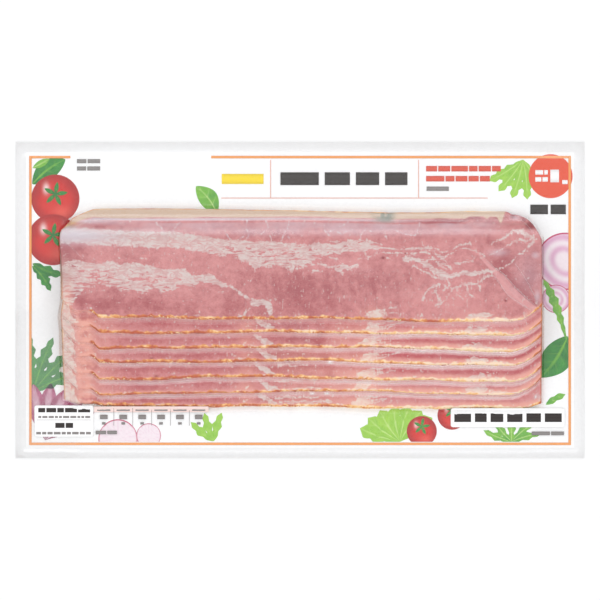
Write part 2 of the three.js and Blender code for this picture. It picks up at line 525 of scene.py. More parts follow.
# Streaks in the top slice's right half, where the fat runs out into seams between the muscles.
STREAKS = (
    Streak(0.7, ((0, 21.7), (3.5, 23.5), (12.7, 24.6))),
    Streak(0.55, ((0, 19.7), (8.8, 21.3), (15.4, 23))),
    Streak(0.55, ((0, 24.6), (7, 23.9), (14.5, 23.5))),
    Streak(1.5, ((16.2, 21.3), (21.9, 23), (27.2, 24.3), (31.1, 23), (24.1, 21.7))),
    Streak(0.5, ((15.8, 23.5), (20.2, 25.2), (26.3, 26.5), (31.1, 25.4), (36.4, 24.1))),
    Streak(0.7, ((29.8, 23.6), (36.4, 22.7), (43.4, 22.1), (50.9, 22.6), (57, 22.6))),
    Streak(0.55, ((28.1, 21.7), (28.9, 20), (30.7, 19.1), (35.5, 20.5), (39.9, 20.5))),
    Streak(0.5, ((41.2, 20.5), (47.4, 20.7))),
    Streak(0.5, ((11, 20), (14, 18.2), (16.2, 18.2))),
    Streak(0.5, ((25.4, 18.2), (28.5, 18.6), (29.8, 17.8))),
    Streak(0.5, ((37.7, 18.2), (41.2, 18))),
    Streak(0.7, ((0, 15.1), (3.9, 16.4), (5.7, 16))),
    Streak(0.6, ((-1.3, 13.8), (2.2, 14.7), (5.7, 15.6))),
    Streak(0.8, ((7, 16.4), (9.6, 16), (13.2, 14.3), (15.8, 14.7), (18.9, 16.2))),
    Streak(1.4, ((16.7, 13.4), (19.3, 15.1), (21.1, 13.8), (25, 15.1))),
    Streak(0.8, ((18, 12.5), (18.9, 11.6))),
    Streak(0.5, ((5.3, 12.7), (9.2, 12.9))),
    Streak(2.2, ((46.1, 17.5), (50.4, 18), (56.1, 15.1), (59.6, 12.7), (63.2, 10.9))),
    Streak(1.5, ((64.9, 10.3), (67.1, 10.9), (70.6, 11.6), (75.9, 11.8), (81.6, 12.7))),
    Streak(0.65, ((81.6, 12.7), (84.2, 12.1), (89.5, 14.3), (92.5, 16.4), (94.7, 18.6), (98.2, 21.7),
                  (103.5, 27))),
    Streak(0.55, ((78.9, 18.6), (84.2, 20), (89, 22.6), (93, 24.8), (96.5, 27), (100, 26.1), (102.6, 27.9))),
    Streak(0.6, ((83.8, 24.3), (89, 27.4), (92.5, 29.2), (98.2, 30.5))),
    Streak(0.55, ((63.6, 18.6), (67.1, 21.3), (72.8, 22.6), (76.3, 21.7), (82, 19.5))),
    Streak(0.5, ((51.8, 22.8), (57, 23), (62.3, 21.3), (66.7, 22.1), (70.2, 23.9), (75, 25.4))),
    Streak(0.65, ((66.2, 5.3), (72.8, 6.8), (77.2, 7.2), (81.1, 10.3), (83.8, 10.9))),
    Streak(0.6, ((49.6, 14.7), (54.4, 12.5), (59.6, 9.9), (63.2, 9))),
    Streak(0.6, ((53.5, 16.4), (57, 17.8), (59.6, 17.3))),
    Streak(0.95, ((49.1, 20.4), (54.4, 21.3), (57, 20.4))),
    Streak(1.1, ((58.3, 20.8), (61.4, 19.1), (64, 16.4))),
    Streak(0.95, ((61.8, 16.4), (66.2, 13.8))),
    Streak(0.7, ((57.9, 18.6), (61, 15.6), (64, 13.4))),
    Streak(0.7, ((68, 16.4), (71.1, 16.4))),
    Streak(0.7, ((72.8, 16.4), (75.4, 16.9))),
    Streak(0.55, ((61, 7.2), (57.5, 5.5), (54.4, 2.9), (53.5, 0.2))),
    Streak(0.45, ((57, 4.2), (60.5, 2.4), (61.4, -0.7), (58.8, -2))),
    Streak(0.45, ((66.7, 4.2), (64, 1.1), (61.4, -1.5))),
    Streak(0.55, ((69.3, 5.9), (68.4, 2.4), (71.1, 0.2))),
    Streak(0.5, ((72.8, 6.4), (73.7, 3.3), (76.3, 0.7))),
    Streak(0.45, ((78.1, 6.8), (79.4, 4.2))),
    Streak(0.5, ((64.5, 9), (65.4, 6.8), (62.7, 4.2))),
    Streak(0.65, ((-33.3, 6.8), (-29.8, 5.9), (-27.6, 4.2), (-25, 2), (-21.9, 0.7), (-19.3, 0.2))),
    Streak(0.6, ((-21.9, -3.7), (-24.1, -5.9), (-26.8, -7.7))),
    Streak(2.4, ((-20.2, -1.2), (-15.8, -1.1), (-14.0, -2.4), (-13.0, -5.0))),
    Streak(2.3, ((30.2, -6.2), (34.8, -6.0))),
    Streak(0.6, ((35.5, -5.3), (39, -3.6), (42.5, -3.2))),
    Streak(1.2, ((96.6, 29.9), (100.4, 27.8))),
    Streak(0.6, ((90.5, 28), (94.3, 30.4), (98, 30))),
    Streak(0.5, ((95.5, 17.5), (99.5, 21), (101.8, 25.5))),
)

# Fine pale veins between the muscle bundles; over the top slice's ramp they also carry painted glints of the
# film.
VEINS = (
    ((-26.3, 20.8), (-26.8, 18.2)), ((-29.8, 23.9), (-30.7, 26.5), (-32.5, 29.2)),
    ((-23.2, 25.7), (-22.4, 29.2)), ((-13.2, 24.8), (-12.7, 27.4)), ((-4.4, 25.7), (-5.3, 27.9)),
    ((-8.3, 25.7), (-6.1, 30.9), (-4.4, 35.3)), ((-16.7, 29.2), (-14, 32.2), (-14.9, 35.3)),
    ((-22.4, 30), (-23.7, 32.2), (-22.8, 35.3)), ((10.1, 33.1), (11.4, 30), (13.2, 28.3)),
    ((11.4, 30), (15.4, 30.5), (18, 28.7), (21.9, 30.5)), ((21.9, 35.3), (19.7, 32.7), (16.7, 31.4)),
    ((26.8, 26.5), (26.3, 29.2), (28.9, 31.8), (31.6, 30)), ((31.6, 30), (35.1, 31.4), (37.3, 32.7)),
    ((41.7, 30.5), (45.2, 29.2), (50.4, 28.3)), ((50.4, 28.3), (51.8, 31.4), (52.6, 34)),
    ((37.3, 27.9), (38.6, 26.1)), ((53.5, 26.1), (54.4, 23.5)), ((-63.2, 34), (-59.6, 30)),
    ((-56.1, 30), (-52.6, 34)), ((-24.6, 27.9), (-28.5, 25.7)),
    ((-50.4, 20.4), (-49.8, 18.2), (-51.2, 16.4)), ((-36.0, 18.6), (-37.0, 15.2)),
    ((-21.6, 6.4), (-21.0, 9.2)), ((-94.0, 19.3), (-95.6, 18.0)), ((-80.2, 19.8), (-79.0, 18.2)),
    ((-61.0, 18.6), (-59.4, 18.0)), ((-69.4, 18.2), (-67.0, 18.0)),
)

# Where the lean is darker (more than 0) or paler: middle, reach, amount.
# The entry at (101, 10.5) is painted shade on the far side of the film's fold.
LEAN_SHADES = (
    ((0.0, 3.3), (17.0, 7.5), 0.52), ((-86.0, 0.7), (11.0, 4.6), 0.2), ((-70.0, -2.4), (18.0, 3.6), 0.26),
    ((30.7, 7.7), (14.0, 7.0), 0.32), ((68.0, -2.0), (18.0, 4.5), -0.2), ((89.5, 18.6), (5.5, 2.8), 0.5),
    ((101.0, 10.5), (6.0, 9.0), 0.55), ((-15.5, 9.3), (8.0, 3.0), 0.2), ((-26.3, -2.0), (6.0, 4.0), 0.18),
    ((79.0, 0.7), (6.0, 3.6), 0.12), ((-12.0, 27.2), (17.0, 2.0), 0.2), ((-102.6, 20.4), (5.6, 4.6), 1.3),
    ((82.0, 13.0), (15.0, 9.0), 0.14), ((84.0, 25.5), (6.0, 1.6), 0.3), ((93.0, 33.0), (5.0, 3.4), 0.15),
    ((52.0, 6.0), (9.0, 6.0), 0.06),
    ((-61.0, -5.5), (10.0, 3.0), 0.2), ((0.0, -5.5), (48.0, 3.0), 0.14), ((77.5, 36.0), (3.5, 0.7), 0.6),
    ((-86.0, 31.8), (8.0, 1.5), 0.4), ((68.0, 34.9), (17.0, 1.3), 0.9), ((-95.0, 1.5), (4.0, 4.0), 0.3),
    ((-93.0, -2.6), (6.0, 4.2), 0.25),
)

# Patches of painted lilac sheen, the film's reflection, over the top slice's right corner: middle, reach and
# strength.
PAINTED_SHEEN_PATCHES = (
    ((94.8, 36.0), (2.2, 0.9), 0.5), ((100.5, 12.0), (6.5, 9.5), 0.2), ((87.0, 20.8), (4.0, 1.5), 0.4),
    ((103.2, 19.6), (1.8, 1.5), 0.5), ((103.8, 1.6), (1.2, 2.8), 0.5), ((80.0, 33.0), (7.0, 1.6), 0.35),
)

# Darker patches of lean in the peach left ends of the lower slices: middle, reach and strength.
END_PATCHES = (
    ((-94.4, -7.2), (4.4, 2.2), 0.75), ((-95.2, -15.0), (1.7, 1.2), 0.45), ((-95.8, -22.6), (2.1, 1.5), 0.3),
    ((-92.0, -29.8), (4.2, 1.4), 0.6), ((-89.0, -43.6), (6.5, 1.3), 0.7),
)

# Thin cream streaks in the middle of the lower slices: slice, height above its front edge, start and end.
CREAM_STREAKS = (
    (3, 5.4, -11.0, 4.5), (4, 5.6, -10.0, 3.0), (5, 5.1, -11.0, 7.5), (5, 1.4, -9.0, 9.0),
    (6, 4.1, -11.0, 9.0), (6, 2.1, -9.0, 14.0),
)

# The film's milky fold across the right end: places along its middle, and half its width at each.
# Over the top slice the fold is painted as a pink highlight, with painted shade on its far side.
FOLD = (
    (78.2, 20.4, 0.5), (81.6, 16.4, 0.8), (85.1, 12.5, 1.0), (88.9, 8.2, 2.1), (92.1, 4.2, 2.2),
    (94.9, 1.5, 2.2), (97.7, -0.7, 1.9), (101.8, -3.3, 1.2), (104.9, -4.6, 0.5),
)

# Small white glints where the film bridges the lower slices.
GLINTS = ((5.3, -41.0), (11.8, -41.0), (13.2, -27.4), (104.2, -42.5))

# Small dark red spots in the top slice: place and radius.
BLOOD_SPOTS = (
    (36.4, 18.5, 0.75), (90.0, -0.3, 0.55), (46.2, 20.4, 0.4), (101.2, 32.7, 2.4), (-103.4, -2.2, 0.5),
    (93.5, 36.9, 1.2), (98.4, 35.2, 1.0),
)


@dataclass(frozen=True)
class StripLook:
    """How a lower slice's strip is shaded: its painted dark band and the film's gleam above it, at either
    end.
    """

    dark_left: float
    dark_right: float
    gleam_left: float
    gleam_right: float
    gleam_at: float = 0.75


STRIPS = (
    StripLook(0.0, 0.0, 0.0, 0.0),
    StripLook(0.29, 0.15, 0.05, 0.05, 0.6),
    StripLook(0.25, 0.45, 0.06, 0.22),
    StripLook(0.3, 0.62, 0.08, 0.25),
    StripLook(0.33, 0.5, 0.15, 0.25),
    StripLook(0.2, 0.25, 0.17, 0.24, 1.05),
    StripLook(0.33, 0.2, 0.19, 0.24, 1.05),
)


@dataclass(frozen=True)
class Marbling:
    """Where a slice is lean, fat, rind or crust, or has painted sheen, highlight or shade, as numbers per
    point.

    fat is how deep a point lies inside fat, in millimetres, and the others run from 0 to 1.
    """

    stack: Stack = Stack()

    def top_fat(self, x: Array, y: Array) -> Array:
        """How deep a point of the top slice lies inside its fat.

        Args:
            x: The points' x.
            y: The points' y.

        Returns:
            The depth in millimetres, less than 0 outside.
        """
        upper = np.minimum(y - line_height(x, UPPER_FAT_END), line_height(x, UPPER_LEAN_END) - y)
        upper = upper - 0.9 * smoothstep(x, 14.0, 46.0)
        lower = np.minimum(y - line_height(x, LOWER_FAT_END), line_height(x, LOWER_FAT_START) - y)
        lower = np.where(x > -31.6, -1.0, lower)
        fat = np.maximum(upper, lower)
        for streak in STREAKS:
            near = line_distance(x, y, streak.points)
            fat = np.maximum(fat, 0.58 * streak.width + 0.12 - near)
        wisps = ripple(x, y, 1.3, 91, stretch=1.3, octaves=3) - 0.55
        clouded = mound(x, y, (64.0, 3.0), (13.0, 5.0)) + mound(x, y, (62.0, 18.0), (7.0, 5.0))
        fat = np.maximum(fat, wisps * 1.2 * clouded - 0.5 * (1 - clouded))
        islands = smoothstep(ripple(x, y, 1.1, 23, stretch=5.0, octaves=2), 0.5, 1.0)
        below = mound(x, y, (-62.0, 5.0), (26.0, 2.6))
        return np.maximum(fat, islands * below * 1.4 - 0.35)

    def front_fat(self, x: Array, rise: Array, index: int) -> Array:
        """How deep a point near a slice's front edge lies inside fat. rise is its height above the edge.

        Args:
            x: The points' x.
            rise: How far each point lies above the slice's front edge.
            index: Which slice, 0 on top.

        Returns:
            The depth in millimetres, less than 0 outside.
        """
        drift = 0.25 * index + 0.6 * math.sin(3.0 * index)
        slanted = line_distance(x, rise, ((-19.6 + drift, 6.2), (-17.8 + drift, 4.4), (-12.3 + drift, 0.9)))
        fat = 1.7 - 0.12 * rise - slanted if index else np.full_like(x, -1.0)
        fleck = line_distance(x, rise, ((-28.0, 0.3), (-25.0, 1.2), (-22.8, 3.0)))
        fat = np.maximum(fat, 0.42 - fleck) if index else fat
        patch_x = 33.2 - 0.95 * index
        height, reach = (2.8, (3.7, 3.0)) if index > 4 else (2.1, (3.5, 2.3))
        fat = np.maximum(fat, self.cloud(x, rise, (patch_x - 0.8, height), reach, 310 + index))
        for lift, reach in ((2.4, 9.0), (3.9, 13.0), (5.2, 10.0)):
            knots = ((patch_x, lift - 0.8), (patch_x + 0.4 * reach, lift), (patch_x + reach, lift + 1.2))
            fat = np.maximum(fat, 0.5 - 1.2 * line_distance(x, rise, knots))
        if index < 6:
            fat = np.maximum(fat, self.cloud(x, rise, (77.3, 1.9), (5.0, 2.0), 320 + index))
            fat = np.maximum(fat, self.cloud(x, rise, (86.5, 0.9), (4.6, 1.1), 330 + index))
        for streaked, height, start, end in CREAM_STREAKS:
            if streaked == index:
                knots = ((start, height - 0.15), ((start + end) / 2, height), (end, height + 0.35))
                fat = np.maximum(fat, 0.75 - 1.5 * line_distance(x, rise, knots))
        flecks = ripple(x, rise, 1.1, 400 + index, stretch=4.5, octaves=2) - 0.4
        near_crust = fade(rise, 0.6, 1.9) * smoothstep(x, -92.0, -86.0)
        fat = np.maximum(fat, flecks * near_crust * 1.8 - 0.3 * (1 - near_crust))
        pale_end = 4.4 + 3.4 * (1 - rise / self.stack.pitch) + 1.5 * ripple(x, rise, 1.7, 420 + index)
        pale_end = pale_end + 1.4 * (index > 5)
        return np.maximum(fat, np.where(index > 0, self.stack.left + pale_end - x, -1.0))

    @staticmethod
    def cloud(x: Array, y: Array, middle: Pair, reach: Pair, seed: int) -> Array:
        """How deep a point lies inside a ragged cloud of fat.

        Args:
            x: The points' x.
            y: The points' y.
            middle: The cloud's middle.
            reach: How far it spreads along X and along Y.
            seed: Picks its outline.

        Returns:
            The depth in millimetres, less than 0 outside.
        """
        ragged = 0.85 * ripple(x, y, 1.3, seed, stretch=1.4, octaves=3)
        return 3.3 * mound(x - 0.8 * (y - middle[1]), y, middle, reach) - 0.95 - ragged

    @staticmethod
    def fold(x: Array, y: Array) -> Array:
        """How deep a point of the top slice lies under the film's milky fold, in millimetres."""
        along, _, half_width = zip(*FOLD)
        return np.interp(x, along, half_width) - line_distance(x, y, [place[:2] for place in FOLD])

    def shade(self, x: Array, y: Array, rise: Array, index: int) -> Array:
        """How dark the lean is, from 0, pale, to 1, with painted shade in the strips' dark bands and by the
        film's fold.

        Args:
            x: The points' x.
            y: The points' y.
            rise: How far each point lies above the slice's front edge.
            index: Which slice, 0 on top.

        Returns:
            A number for each point, near 0 to 1.
        """
        shade = 0.34 + 0.1 * ripple(x, y, 7.0, 61 + index, octaves=3)
        if index == 0:
            warp_x = x + 4.0 * ripple(x, y, 9.0, 151)
            warp_y = y + 2.5 * ripple(x, y, 7.0, 153)
            for middle, reach, amount in LEAN_SHADES:
                shade = shade + amount * mound(warp_x, warp_y, middle, reach)
            fibres = ripple(x + 0.12 * y, y, 22.0, 83, stretch=0.09, octaves=3)
            shade = shade + 0.16 * fibres * mound(x, y, (12.0, 6.0), (40.0, 11.0))
            # The film's fold: painted shade on its far side, and less shade under its painted highlight.
            fold = self.fold(x, y)
            beyond = smoothstep(y - line_height(x, [place[:2] for place in FOLD]), 0.0, 0.4)
            beyond = beyond * smoothstep(x, 84.0, 89.0)
            shade = shade + 0.6 * beyond * bell(np.minimum(fold, 0.0), 2.6)
            return shade * (1 - 0.7 * smoothstep(fold, -0.2, 0.3))
        below = self.stack.front_edge(x, index - 1) - y
        right = smoothstep(x, -10.0, 60.0)
        look = STRIPS[index]
        # Painted shade: a dark band across the middle of each lower strip, below the film's gleam.
        band = smoothstep(below, 0.8, 1.9) * fade(below, 2.6, 5.2)
        depth = look.dark_left + (look.dark_right - look.dark_left) * right
        shade = shade + depth * band - 0.12 * right - (0.1 * smoothstep(x, -60.0, 0.0) if index > 4 else 0.0)
        if 2 <= index <= 4:
            # Painted shade of a film crease: a darker column near x 8 to 13 down strips 2 to 4.
            shade = shade + 0.65 * mound(x, rise, (4.0 + 2.2 * index, 2.6), (2.2, 3.2))
            shade = shade + 0.22 * bell(x, 11.0, -4.0)
        if index > 1:
            shade = shade - 0.2 * bell(x, 8.0, 18.5)
        shade = shade + 0.1 * smoothstep(-x, 30.0, 80.0) * (1 - band) - 0.15 * bell(x, 8.0, -85.0)
        return shade + 0.45 * self.end_patches(x, y)

    @staticmethod
    def end_patches(x: Array, y: Array) -> Array:
        """Where the peach left ends hold darker lean, from 0 to 1.

        Args:
            x: The points' x.
            y: The points' y.

        Returns:
            A number from 0 to 1 for each point.
        """
        warp_x = x + 1.6 * ripple(x, y, 2.4, 161)
        warp_y = y + 0.9 * ripple(x, y, 1.8, 163)
        return sum(strength * smoothstep(mound(warp_x, warp_y, middle, reach), 0.15, 0.75)
                   for middle, reach, strength in END_PATCHES)

    def values(self, x: Array, y: Array, index: int) -> dict[str, Array]:
        """Every number that the meat's material reads.

        Args:
            x: The points' x.
            y: The points' y.
            index: Which slice, 0 on top.

        Returns:
            The numbers by name, one for each point.
        """
        wander_x = x + 0.55 * ripple(x, y, 3.2, 41 + index, octaves=2)
        wander_y = y + 0.5 * ripple(x, y, 2.6, 51 + index, octaves=3)
        rise = y - self.stack.front_edge(x, index)
        wander_rise = rise + (wander_y - y) * smoothstep(rise, 0.0, 1.5)
        fat = self.front_fat(wander_x, wander_rise, index)
        if index == 0:
            fat = np.maximum(fat - 2.0 * smoothstep(rise, 3.5, 5.0), self.top_fat(wander_x, wander_y))
            for vein in VEINS:
                fat = np.maximum(fat, 0.16 - line_distance(wander_x, wander_y, vein))
        return {
            "fat": np.clip(fat, -1.5, 1.5),
            "shade": self.shade(x, y, rise, index),
            "red": np.interp(x, (-100.0, -30.0, 0.0, 40.0, 70.0), (0.35, 0.4, 0.15, 0.9, 0.65)) * (index > 0),
            "warm": self.warmth(x, y, rise, index),
            "haze": self.haze(x, y, index),
            "blush": self.blush(x, y, index),
            "strand": self.strand(x, y, index),
            "crust": self.crust(x, y, rise, index),
            "rind": self.rind(x, y, index),
            "blood": self.blood(x, y, rise, index),
            "toast": self.toast(x, rise, index),
            "stain": self.stain(x, y, index),
        }

    @staticmethod
    def stain(x: Array, y: Array, index: int) -> Array:
        """A smudge of old stamp ink on the rind, darker patches at the left end, and grey over the painted
        sheen.

        Args:
            x: The points' x.
            y: The points' y.
            index: Which slice, 0 on top.

        Returns:
            A number from 0 to 1 for each point.
        """
        across = smoothstep(x, 29.0, 37.5) * fade(x, 38.5, 43.5) * smoothstep(y, 32.8, 35.6)
        smudge = 0.95 * across * smoothstep(ripple(x, y, 1.6, 43), -1.3, 0.3)
        end = 0.6 * mound(x, y, (-101.2, 33.0), (2.8, 1.5))
        end = np.maximum(end, 0.34 * mound(x, y, (-104.0, 10.5), (4.5, 6.5)))
        # The next two grey down the painted sheen band and the painted glint line under the rind.
        end = np.maximum(end, 0.12 * mound(x, y, (-100.0, 29.6), (50.0, 2.2)))
        line = 0.14 * bell(y - line_height(x, RIND_INNER) + 0.7, 0.5) * smoothstep(x, -95.0, -88.0)
        return np.maximum.reduce([smudge, end, line]) * (index == 0)

    def warmth(self, x: Array, y: Array, rise: Array, index: int) -> Array:
        """How peach the lean and how creamy the fat are.

        Args:
            x: The points' x.
            y: The points' y.
            rise: How far each point lies above the slice's front edge.
            index: Which slice, 0 on top.

        Returns:
            A number from 0 to 1 for each point.
        """
        right = smoothstep(x, 10.0, 70.0)
        if index == 0:
            edge = 0.6 * fade(rise, 0.3 + 0.5 * right, 0.9 + 2.0 * right)
            left = 0.6 * fade(x, -102.0, -98.0) * fade(rise, 6.0, 24.0)
            cream = 0.45 * mound(x, rise, (32.5, 2.4), (5.0, 3.0))
            cream = cream + 0.4 * mound(x, rise, (79.0, 1.5), (7.0, 2.5))
            return np.clip(edge + left + cream, 0.0, 1.0)
        edge = 0.8 * fade(rise, 0.3 + 0.3 * right, 2.2 + 1.4 * right)
        edge = edge + 0.3 * right * fade(rise, 2.2, 3.6)
        left = np.interp(x, (-92.5, -89.0, -76.0), (1.0, 0.35, 0.0)) * (0.85 + 0.25 * ripple(x, y, 2.2, 17))
        left = left * (1 - 0.9 * self.end_patches(x, y)) * (1 - 0.4 * fade(x, -99.5, -96.0))
        cream = (0.4 + 0.1 * index) * mound(x, rise, (33.0 - 0.9 * index, 2.0), (6.0, 3.0))
        cream = cream + 0.45 * mound(x, rise, (-23.5, 2.6), (4.5, 3.0))
        cream = cream + 0.3 * mound(x, rise, (19.0, 2.0), (8.0, 3.5))
        cream = cream + 0.3 * mound(x, rise, (2.0, 3.4), (16.0, 3.2)) * (index >= 3)
        return np.clip(edge * smoothstep(x, -97.0, -91.0) + left + cream, 0.0, 1.0)

    def haze(self, x: Array, y: Array, index: int) -> Array:
        """How much painted lilac sheen, the film's reflection, lies over the top slice's ramp.

        Args:
            x: The points' x.
            y: The points' y.
            index: Which slice, 0 on top.

        Returns:
            A number from 0 to 1 for each point.
        """
        if index:
            return np.zeros_like(x)
        line = y - line_height(x, RIND_INNER)
        # A painted glint line under the rind, and a painted darker line below it.
        glint = bell(line + 0.7, 0.5) * np.interp(x, (-98, -90, -20, 35, 60), (0.0, 0.95, 0.8, 0.5, 0.0))
        dark = 0.4 * bell(line + 1.8, 0.4) * smoothstep(x, -75.0, -55.0)
        patchy = 0.8 + 0.35 * ripple(x, y, 4.0, 77, stretch=2.5, octaves=3)
        across = np.interp(x, (-105, -95, -60, -30, 0, 25, 60, 85, 92),
                           (0.65, 0.5, 0.32, 0.36, 0.42, 0.55, 0.42, 0.25, 0.0))
        sheen = smoothstep(y, 26.5, 31.5) * fade(y, 33.8, 35.4) * across * patchy
        left = 0.85 * mound(x, y, (-99.0, 28.5), (18.0, 3.6)) + 0.55 * mound(x, y, (-92.0, 34.4), (14.0, 1.2))
        veiled = np.maximum(sheen, left) * (1 - 0.85 * mound(x, y, (-86.0, 32.0), (10.0, 1.5)))
        nearest = np.minimum.reduce([line_distance(x, y, vein) for vein in VEINS])
        # Painted glints of the film along the veins.
        web = 0.45 * bell(nearest, 0.34) * smoothstep(y, 26.0, 28.0)
        patches = [strength * mound(x, y, middle, reach) for middle, reach, strength in PAINTED_SHEEN_PATCHES]
        return np.clip(np.maximum.reduce([veiled - dark, glint, web, *patches]), 0.0, 0.95)

    def blush(self, x: Array, y: Array, index: int) -> Array:
        """Painted pink highlight under each crust and along the film's fold, and a pink tint at the left end.

        Args:
            x: The points' x.
            y: The points' y.
            index: Which slice, 0 on top.

        Returns:
            A number from 0 to 1 for each point.
        """
        if not index:
            # Painted highlight along the film's fold over the top slice, and a pink tint at its left end.
            fold = self.fold(x, y)
            streaks = 0.9 + 0.6 * ripple(x - y, x + y, 1.1, 881, stretch=7.0)
            end = 0.4 * mound(x, y, (-103.5, 10.5), (4.5, 6.5))
            return np.clip(np.maximum(0.2 * smoothstep(fold, -0.3, 0.3) * streaks, end), 0.0, 1.0)
        # Painted highlight where the film's fillet runs under the crust of the slice above.
        below = self.stack.front_edge(x, index - 1) - y
        across = np.interp(x, (-93, -86, -25, 30, 100), (0.0, 0.35, 0.35, 0.6, 0.6))
        across = across * (0.45 if index == 1 else 1.0)
        across = across * (0.85 + 0.25 * ripple(x, x * 0, 5.0, 900 + index, octaves=3))
        return np.clip(across * smoothstep(below, -0.1, 0.15) * fade(below, 1.3, 2.4), 0.0, 1.0)

    def strand(self, x: Array, y: Array, index: int) -> Array:
        """How deep the lean frays into the fat here, in millimetres.

        Args:
            x: The points' x.
            y: The points' y.
            index: Which slice, 0 on top.

        Returns:
            The depth at each point.
        """
        if index:
            return np.full_like(x, 0.5)
        lower = smoothstep(line_height(x, LOWER_FAT_START) - y, 0.5, 5.0) * fade(x, -40.0, -30.0)
        upper_depth = line_height(x, UPPER_LEAN_END) - y
        upper = smoothstep(x, -62.0, -30.0) * smoothstep(upper_depth, 0.5, 4.0) * fade(upper_depth, 9.0, 12.0)
        right = smoothstep(x, -6.0, 8.0) * fade(x, 40.0, 50.0) * smoothstep(upper_depth, -0.5, 0.8)
        right = right * fade(upper_depth, 6.0, 9.0)
        near_streak = np.zeros_like(x)
        for streak in STREAKS:
            near_streak = np.maximum(near_streak, fade(line_distance(x, y, streak.points), 0.4, 1.2))
        end = 0.45 * fade(x, -101.5, -97.0)
        return 0.2 + 2.5 * np.clip(lower + upper + right + end, 0.0, 1.0) * (1 - 0.8 * near_streak)

    def crust(self, x: Array, y: Array, rise: Array, index: int) -> Array:
        """The browned line along the front edge, and the rind's own outer line.

        Args:
            x: The points' x.
            y: The points' y.
            rise: How far each point lies above the slice's front edge.
            index: Which slice, 0 on top.

        Returns:
            A number from 0 to 1 for each point.
        """
        uneven = 0.5 * ripple(x, np.zeros_like(x), 1.7, 500 + index, octaves=3)
        width = np.interp(x, (-94, -91.5, -88, 0, 50, 88, 95, 100, 106),
                          (0.4, 0.9, 1.35, 1.25, 1.3, 1.5, 0.8, 0.75, 1.3))
        width = width * (0.7 if index == 5 else 1.0)
        line = smoothstep(width + uneven * (width > 0.1) - rise, -0.12, 0.18) * smoothstep(x, -92.8, -91.2)
        end = fade(self.stack.right - x, 0.2, 0.8) * (0.0 if index == 0 else 0.9)
        left = fade(x - self.stack.left, 0.3, 0.9) * (0.65 if index else 0.5 * fade(y, 4.0, 14.0))
        fold = fade(rise, 0.1, 0.35) * fade(x, -98.0, -94.0) * 0.12
        rind = np.zeros_like(x)
        if index == 0:
            outer = self.stack.rind_edge(x, index) - y
            rind = fade(outer, 0.2, 0.55) * (0.5 + 0.5 * ripple(x, y, 6.0, 95)) * fade(x, 88.0, 91.0)
            rind = np.maximum(rind, 0.5 * mound(x, y, (-100.6, 33.4), (4.5, 1.2)))
        return np.clip(np.maximum.reduce([line, end, left, fold, rind]), 0.0, 1.0)

    def rind(self, x: Array, y: Array, index: int) -> Array:
        """The smoked rind along the top slice's far edge.

        Args:
            x: The points' x.
            y: The points' y.
            index: Which slice, 0 on top.

        Returns:
            A number from 0 to 1 for each point.
        """
        if index:
            return smoothstep(y - self.stack.rind_edge(x, index), -1.4, -1.0)
        depth = y - line_height(x, RIND_INNER) + 0.25 * ripple(x, y, 4.0, 15, stretch=3.0)
        inside = smoothstep(depth, -0.15, 0.25)
        return inside * fade(x - 0.35 * (y - 36.0), 88.8, 89.6)

    def blood(self, x: Array, y: Array, rise: Array, index: int) -> Array:
        """Small dark red spots and smears.

        Args:
            x: The points' x.
            y: The points' y.
            rise: How far each point lies above the slice's front edge.
            index: Which slice, 0 on top.

        Returns:
            A number from 0 to 1 for each point.
        """
        blood = np.zeros_like(x)
        if index == 0:
            for spot_x, spot_y, radius in BLOOD_SPOTS:
                blood = np.maximum(blood, 1.5 * mound(x, y, (spot_x, spot_y), (radius, radius * 0.75)))
            blood = np.maximum(blood, 0.16 * mound(x, y, (-104.0, 10.5), (4.5, 6.5)))
            outer = (self.stack.rind_edge(x, index) - y) / (1.0 + 0.5 * ripple(x, y, 2.0, 97))
            blood = np.maximum(blood, 0.55 * fade(outer, 0.3, 1.2) * smoothstep(x, 90.0, 93.0))
        if 2 <= index <= 4:
            blood = np.maximum(blood, 0.7 * mound(x, rise, (5.0 + 2.2 * index, 0.7), (2.2, 0.8)))
        if index in (3, 4):
            blood = np.maximum(blood, 0.8 * mound(x, rise, (-71.0 + 2.0 * index, 1.7), (0.8, 0.6)))
        return np.clip(blood, 0.0, 1.0)

    def toast(self, x: Array, rise: Array, index: int) -> Array:
        """How pale the crust is: 0 is brown, 1 is creamy yellow.

        Args:
            x: The points' x.
            rise: How far each point lies above the slice's front edge.
            index: Which slice, 0 on top.

        Returns:
            A number for each point, near 0 to 1.
        """
        places = (-105, -92, -86, -76, -60, -20, 5, 40, 62, 75, 92, 99, 106)
        shares = (0.25, 0.4, 0.5, 0.2, 0.3, 0.35, 0.35, 0.22, 0.3, 0.8, 0.9, 0.9, 0.1)
        if index:
            shares = (0.25, 0.2, 0.3, 0.2, 0.25, 0.4, 0.45, 0.65, 0.8, 0.85, 0.95, 0.9, 0.1)
        across = np.interp(x, places, shares) + 0.3 * smoothstep(rise, 0.4, 1.0) - 0.12
        # Painted light: the crust paler on its steep wall at the very edge, against the shade there.
        across = across + 0.3 * fade(rise, 0.1, 0.45)
        return across + 0.3 * ripple(x, rise * 0.0, 3.0, 600 + index, octaves=3)


class Tint(Colour):
    """Colours of the meat, and of the sheen and highlight painted on it."""

    LEAN_PALE = "d98f8e"
    LEAN_DARK = "ac4f55"
    LEAN_RED = "c44049"
    LEAN_PEACH = "eda796"
    FAT_COOL = "d9c6c1"
    FAT_CREAM = "f3dccc"
    # The next two are painted light: the film's lilac sheen, and the pink of the painted highlight under each
    # crust.
    HAZE = "d4c9d3"
    BLUSH = "f2c0c3"
    RIND = "d3b8a2"
    RIND_LINE = "c89d72"
    BLOOD = "90202a"
    # Stamp ink, also the grey that dulls the painted sheen and glint line.
    STAMP_AND_SHEEN_GREY = "7f8578"
    CRUST_BROWN = "c04e18"
    CRUST_ORANGE = "e08a3c"
    CRUST_YELLOW = "fed08c"
    CRUST_CREAM = "fde2c4"


